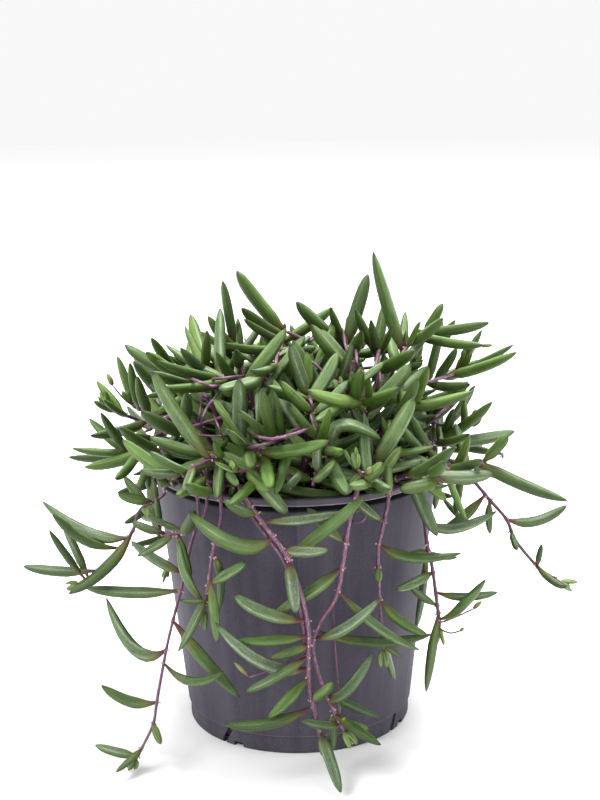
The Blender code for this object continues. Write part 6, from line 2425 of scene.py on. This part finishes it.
@dataclass(frozen=True)
class NurseryPot:
    """The pot: a thin tapered wall with a small lip, a stepped foot, slots and drain holes."""

    form: PotForm = POT
    sides: int = 160
    wall_row: float = 5.0 * MM
    wave: float = 0.07 * MM
    wave_places: Row = (40.0, 40.0, 9.0)
    waved_from: float = 0.9
    slot_angles: Row = (-40.0, 56.0, 140.0, 236.0)
    slot_width: float = 2.3 * MM
    slot_bottom: float = -0.4 * MM
    notch_turn: float = 7.5
    notch_width: float = 4.5 * MM
    notch_height: float = 2.2 * MM
    slot_lean: float = math.radians(28.0)
    slot_reach: float = 5.0 * MM
    drain_holes: int = 4
    drain_radius: float = 3.2 * MM
    drain_ring: float = 30.0 * MM
    drain_sides: int = 32
    crisp_edge: float = math.radians(40.0)
    floor_round: float = 1.2 * MM
    inner_round: float = 0.5 * MM
    rim_round: float = 0.7 * MM
    step_round: float = 0.35 * MM
    groove_round: float = 0.1 * MM
    groove_slope: Span = (0.2 * MM, 0.4 * MM)
    foot_round: float = 0.2 * MM
    base_round: float = 0.9 * MM

    def outline(self) -> list[Span]:
        """The wall's section, from the inside's middle over the rim to the underside's middle.

        Returns:
            The points, as (radius, height).
        """
        form = self.form
        base = form.base_radius
        groove = form.wall_top - form.groove_depth
        slope = self.groove_slope
        corners = (
            (0.0, form.floor, 0.0),
            (base - form.wall, form.floor, self.floor_round),
            (form.inside_top, form.lip_low, self.inner_round),
            (form.inside_top, form.height, self.inner_round),
            (form.rim_radius, form.height, self.rim_round),
            (form.rim_radius, form.lip_low, self.step_round),
            (groove, form.lip_low, self.groove_round),
            (groove, form.groove_low, self.groove_round),
            (form.wall_top - slope[0], form.groove_low - slope[1], self.groove_round),
            (base + form.foot_step, form.foot_height, self.step_round),
            (base, form.foot_height, self.foot_round),
            (base, 0.0, self.base_round),
            (0.0, 0.0, 0.0),
        )
        return divided(rounded(corners), self.wall_row)

    def waved(self, place: Vector) -> Vector:
        """A point of the wall, moved by the slight unevenness of thin plastic.

        Args:
            place: The point.

        Returns:
            Where it comes to lie.
        """
        around = Vector((place.x, place.y, 0.0))
        inside = around.length < self.form.base_radius * self.waved_from
        if inside or place.z < self.form.foot_height:
            return place
        swing = noise.noise(Vector([place[i] * self.wave_places[i] for i in range(3)]))
        return place + around.normalized() * (swing * self.wave)

    def holes(self) -> Iterator[tuple[Matrix, Hole]]:
        """The place and size of each hole, and its shape.

        Returns:
            Each cutter's placing and its shape.
        """
        height = self.form.foot_height - self.slot_bottom
        for angle in self.slot_angles:
            slot = ((self.slot_width, self.slot_reach, height), self.slot_bottom + height / 2.0, 0.0)
            notch = ((self.notch_width, self.slot_reach, self.notch_height * 2.0), 0.0, self.notch_turn)
            for size, level, extra in (slot, notch):
                turn = Matrix.Rotation(math.radians(angle + extra), 4, "Z")
                move = Matrix.Translation((0.0, -self.form.base_radius, level))
                lean = Matrix.Rotation(0.0 if extra else self.slot_lean, 4, "Y")
                yield turn @ move @ lean @ Matrix.Diagonal((*size, 1.0)), Hole.SLOT
        for k in range(self.drain_holes):
            place = outward(90.0 + k * 360.0 / self.drain_holes) * self.drain_ring
            size = (self.drain_radius, self.drain_radius, self.form.floor * 3.0, 1.0)
            yield Matrix.Translation(place) @ Matrix.Diagonal(size), Hole.DRAIN

    def cut(self, piece: Object, place: Matrix, hole: Hole) -> None:
        """Cuts a hole through the pot.

        Args:
            piece: The pot.
            place: The hole's place, turn and size.
            hole: Its shape.
        """
        shape = bmesh.new()
        if hole is Hole.SLOT:
            bmesh.ops.create_cube(shape, size=1.0, matrix=place)
        else:
            pin = {"segments": self.drain_sides, "radius1": 1.0, "radius2": 1.0, "depth": 1.0}
            bmesh.ops.create_cone(shape, cap_ends=True, matrix=place, **pin)
        mesh = finished_mesh("cutter", shape)
        cutter = add_object("cutter", mesh)
        cut = piece.modifiers.new("cut", "BOOLEAN")
        cut.object = cutter
        cut.operation = "DIFFERENCE"
        graph = bpy.context.evaluated_depsgraph_get()
        piece_with_hole = bpy.data.meshes.new_from_object(piece.evaluated_get(graph))
        piece.modifiers.clear()
        piece.data = piece_with_hole
        bpy.data.objects.remove(cutter)
        bpy.data.meshes.remove(mesh)

    def build(self, finish: Material) -> Object:
        """Builds the piece in the place of its solid.

        Args:
            finish: What it is made of.

        Returns:
            The pot.
        """
        mesh = turned_mesh("pot shell", self.outline(), self.sides, self.waved)
        piece = add_piece("pot_shell", mesh, finish)
        for place, hole in self.holes():
            self.cut(piece, place, hole)
        piece.data.shade_smooth()
        piece.data.set_sharp_from_angle(angle=self.crisp_edge)
        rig.ride(piece, "root")
        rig.replaces(piece, "pot")
        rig.slot(piece, "pot_plastic")
        return piece


@dataclass(frozen=True)
class PottingSoil:
    """The soil in the pot: a lumpy top with crumbs, fibres and bits of bark on it."""

    form: PotForm = POT
    sides: int = 110
    row: float = 1.1 * MM
    lump: float = 0.7 * MM
    crumbs: int = 320
    crumb_sizes: Span = (0.5, 1.6)
    crumb_lengths: Span = (0.6, 1.6)
    crumb_thickness: float = 0.6
    crumb_raise: float = 0.3
    crumb_sides: int = 6
    crumb_tilt: float = 0.4
    crumb_margin: float = 2.0 * MM
    lump_scale: float = 260.0
    lump_middle: float = 0.35
    lump_detail: tuple[float, float, int] = (0.7, 2.1, 4)
    lump_fade: float = 2.0 * MM
    top_depth: float = 1.0 * MM
    foot_bevel: float = 1.2 * MM
    crisp_edge: float = math.radians(50.0)
    seed: int = 11

    @property
    def edge(self) -> float:
        """The radius of the soil's top."""
        return self.form.inner_radius(self.form.soil_edge) - self.form.soil_gap

    def level(self, radius: float) -> float:
        """The height of the soil at a distance from the axis, without its lumps.

        Args:
            radius: The distance from the axis.

        Returns:
            The height.
        """
        flat = self.edge * self.form.soil_flat
        share = held((radius - flat) / (self.edge - flat))
        return self.form.soil_middle + (self.form.soil_edge - self.form.soil_middle) * share

    def lumped(self, place: Vector) -> Vector:
        """A point of the soil, moved by its lumps where it is part of the top.

        Args:
            place: The point.

        Returns:
            Where it comes to lie.
        """
        if place.z < self.form.soil_edge - self.top_depth:
            return place
        fade = held((self.edge - math.hypot(place.x, place.y)) / self.lump_fade)
        height = noise.fractal(place * self.lump_scale, *self.lump_detail) - self.lump_middle
        return place + UP * (height * self.lump * fade)

    def build(self, finish: Material) -> list[Object]:
        """Builds the soil in the place of its solid, and the crumbs on it.

        Args:
            finish: What it looks like.

        Returns:
            The soil and the crumbs.
        """
        rows = round(self.edge / self.row)
        radii = [self.edge * k / rows for k in range(rows + 1)]
        outline = [(radius, self.level(radius)) for radius in radii]
        low = self.form.inner_radius(self.form.floor) - self.form.soil_gap
        bottom = self.form.floor + self.form.gap
        outline += [(low, self.form.floor + self.foot_bevel), (low - self.foot_bevel, bottom), (0.0, bottom)]
        mesh = turned_mesh("potting soil", outline, self.sides, self.lumped)
        bed = add_piece("potting_soil", mesh, finish)
        bed.data.shade_smooth()
        bed.data.set_sharp_from_angle(angle=self.crisp_edge)
        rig.replaces(bed, "soil")
        loose = self.loose_crumbs(finish)
        for piece in (bed, loose):
            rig.ride(piece, "root")
            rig.slot(piece, "soil")
        return [bed, loose]

    def loose_crumbs(self, finish: Material) -> Object:
        """The crumbs, each an uneven lump that is sunk a little into the soil.

        Args:
            finish: What they look like.

        Returns:
            All the crumbs as one piece.
        """
        draw = random.Random(self.seed)
        draft = MeshDraft()
        tube = TubeForm()
        for _ in range(self.crumbs):
            around = draw.uniform(0.0, math.tau)
            radius = math.sqrt(draw.random()) * (self.edge - self.crumb_margin)
            size = draw.uniform(*self.crumb_sizes) * MM
            place = Vector((radius * math.cos(around), radius * math.sin(around), self.level(radius)))
            place = self.lumped(place) + UP * (size * self.crumb_raise)
            run = Vector([draw.uniform(-most, most) for most in (1.0, 1.0, self.crumb_tilt)])
            run = run.normalized() * size * draw.uniform(*self.crumb_lengths)
            tint = Tint(draw.random(), 0.0, draw.random())
            radius = size * self.crumb_thickness
            tube.pointed(draft, place - run, place + run, radius, tint, Skin.LEAF, self.crumb_sides)
        return draft.build("soil_crumbs", [finish])


@dataclass(frozen=True)
class Studio:
    """The plain pale floor and the soft light round the plant.

    Each lamp has a name, a place, its power in watts and its width.
    """

    floor_size: float = 6.0
    world_strength: float = 0.94
    lamps: tuple[tuple[str, Row, float, float], ...] = (
        ("key", (-0.8, -0.7, 1.2), 14.0, 0.6),
        ("fill", (1.1, -0.6, 0.5), 2.0, 0.8),
        ("top", (0.1, 0.25, 1.3), 36.0, 0.7),
    )
    aim: Row = (0.0, 0.0, 0.1)

    def add_lamp(self, name: str, place: Row, power: float, size: float) -> None:
        """Adds a soft lamp that points at the plant.

        Args:
            name: Its name.
            place: Where it stands.
            power: Its power in watts.
            size: Its width.
        """
        data = bpy.data.lights.new(name, "AREA")
        data.energy = power
        data.size = size
        lamp = add_object(name, data)
        lamp.location = place
        lamp.rotation_euler = (Vector(self.aim) - Vector(place)).to_track_quat("-Z", "Y").to_euler()

    def build(self, finish: Material) -> None:
        """Adds the floor, the lamps and the pale surroundings.

        Args:
            finish: The floor's finish.
        """
        half = self.floor_size / 2.0
        mesh = bpy.data.meshes.new("floor")
        corners = [(-half, -half, 0.0), (half, -half, 0.0), (half, half, 0.0), (-half, half, 0.0)]
        mesh.from_pydata(corners, [], [(0, 1, 2, 3)])
        floor = add_piece("floor", mesh, finish)
        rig.stage(floor)
        for lamp in self.lamps:
            self.add_lamp(*lamp)
        world = bpy.data.worlds.new("pale surroundings")
        world.use_nodes = True
        backdrop = world.node_tree.nodes["Background"]
        backdrop.inputs["Color"].default_value = (1.0, 1.0, 1.0, 1.0)
        backdrop.inputs["Strength"].default_value = self.world_strength
        scene = bpy.context.scene
        scene.world = world
        scene.view_settings.view_transform = "Standard"
        VIEW.add_camera()


def place_buds(plant: Plant) -> dict[str, list[Bud]]:
    """Each flower bud, by the name of the stem that bears it.

    Args:
        plant: The plant, with its stems in place.

    Returns:
        The buds of each stem.
    """
    places: dict[str, list[Bud]] = {}
    for row in BUDS:
        pixels = list(zip(row[0:8:2], row[1:8:2]))
        stem = plant.nearest_stem(*pixels[0], row[1] > TRAILING_BELOW)
        foot = stem.at(stem.nearest(*pixels[0]))[0]
        points = [VIEW.point(*pixel, -foot.y + row[9] * MM * k / 3.0) for k, pixel in enumerate(pixels)]
        places.setdefault(stem.name, []).append(Bud(points[:-1], points[-1], row[8] * MM / 2.0))
    return places


def place_runners(plant: Plant) -> dict[str, list[Runner]]:
    """Each bare side shoot, by the name of the stem that bears it.

    Args:
        plant: The plant, with its stems in place.

    Returns:
        The side shoots of each stem.
    """
    places: dict[str, list[Runner]] = {}
    for width, pink, pixels in RUNNERS:
        stem = plant.nearest_stem(*pixels[0][:2], pixels[-1][1] > TRAILING_BELOW)
        runner = Runner(plant.runner(width * MM, pixels), width * MM / 2.0, pink)
        places.setdefault(stem.name, []).append(runner)
    return places


def main() -> None:
    """Builds the plant, its pot and the studio, and reports each piece."""
    logging.basicConfig(level=logging.INFO, format="%(name)s: %(message)s")
    plant = Plant()
    plant.grow()
    runners = place_runners(plant)
    plant.thicken()
    finishes = (LeafFinish().build(), StemFinish().build(), BractFinish().build())
    buds = place_buds(plant)
    pieces = [NurseryPot().build(PlasticFinish().build()), *PottingSoil().build(SoilFinish().build())]
    for stem in plant.stems:
        leafy = LeafyStem(stem, buds.get(stem.name, []), runners.get(stem.name, []))
        pieces.append(leafy.build(finishes))
    for piece in pieces:
        piece.data.calc_loop_triangles()
        log.info("%s: %d triangles", piece.name, len(piece.data.loop_triangles))
    log.info("%d leaves on %d stems", sum(len(s.leaves) for s in plant.stems), len(plant.stems))
    log.info("%d triangles in all", sum(len(piece.data.loop_triangles) for piece in pieces))
    Studio().build(FloorFinish().build())
    bpy.context.view_layer.update()
    built_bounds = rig.bounds()
    sizes = {
        "cad": [[round(value, 5) for value in corner] for corner in cad_bounds],
        "built": [[round(value, 5) for value in corner] for corner in built_bounds],
    }
    with open(SIZE_FILE, "w", encoding="utf-8") as file:
        json.dump(sizes, file, indent=1)


if __name__ == "__main__":
    main()
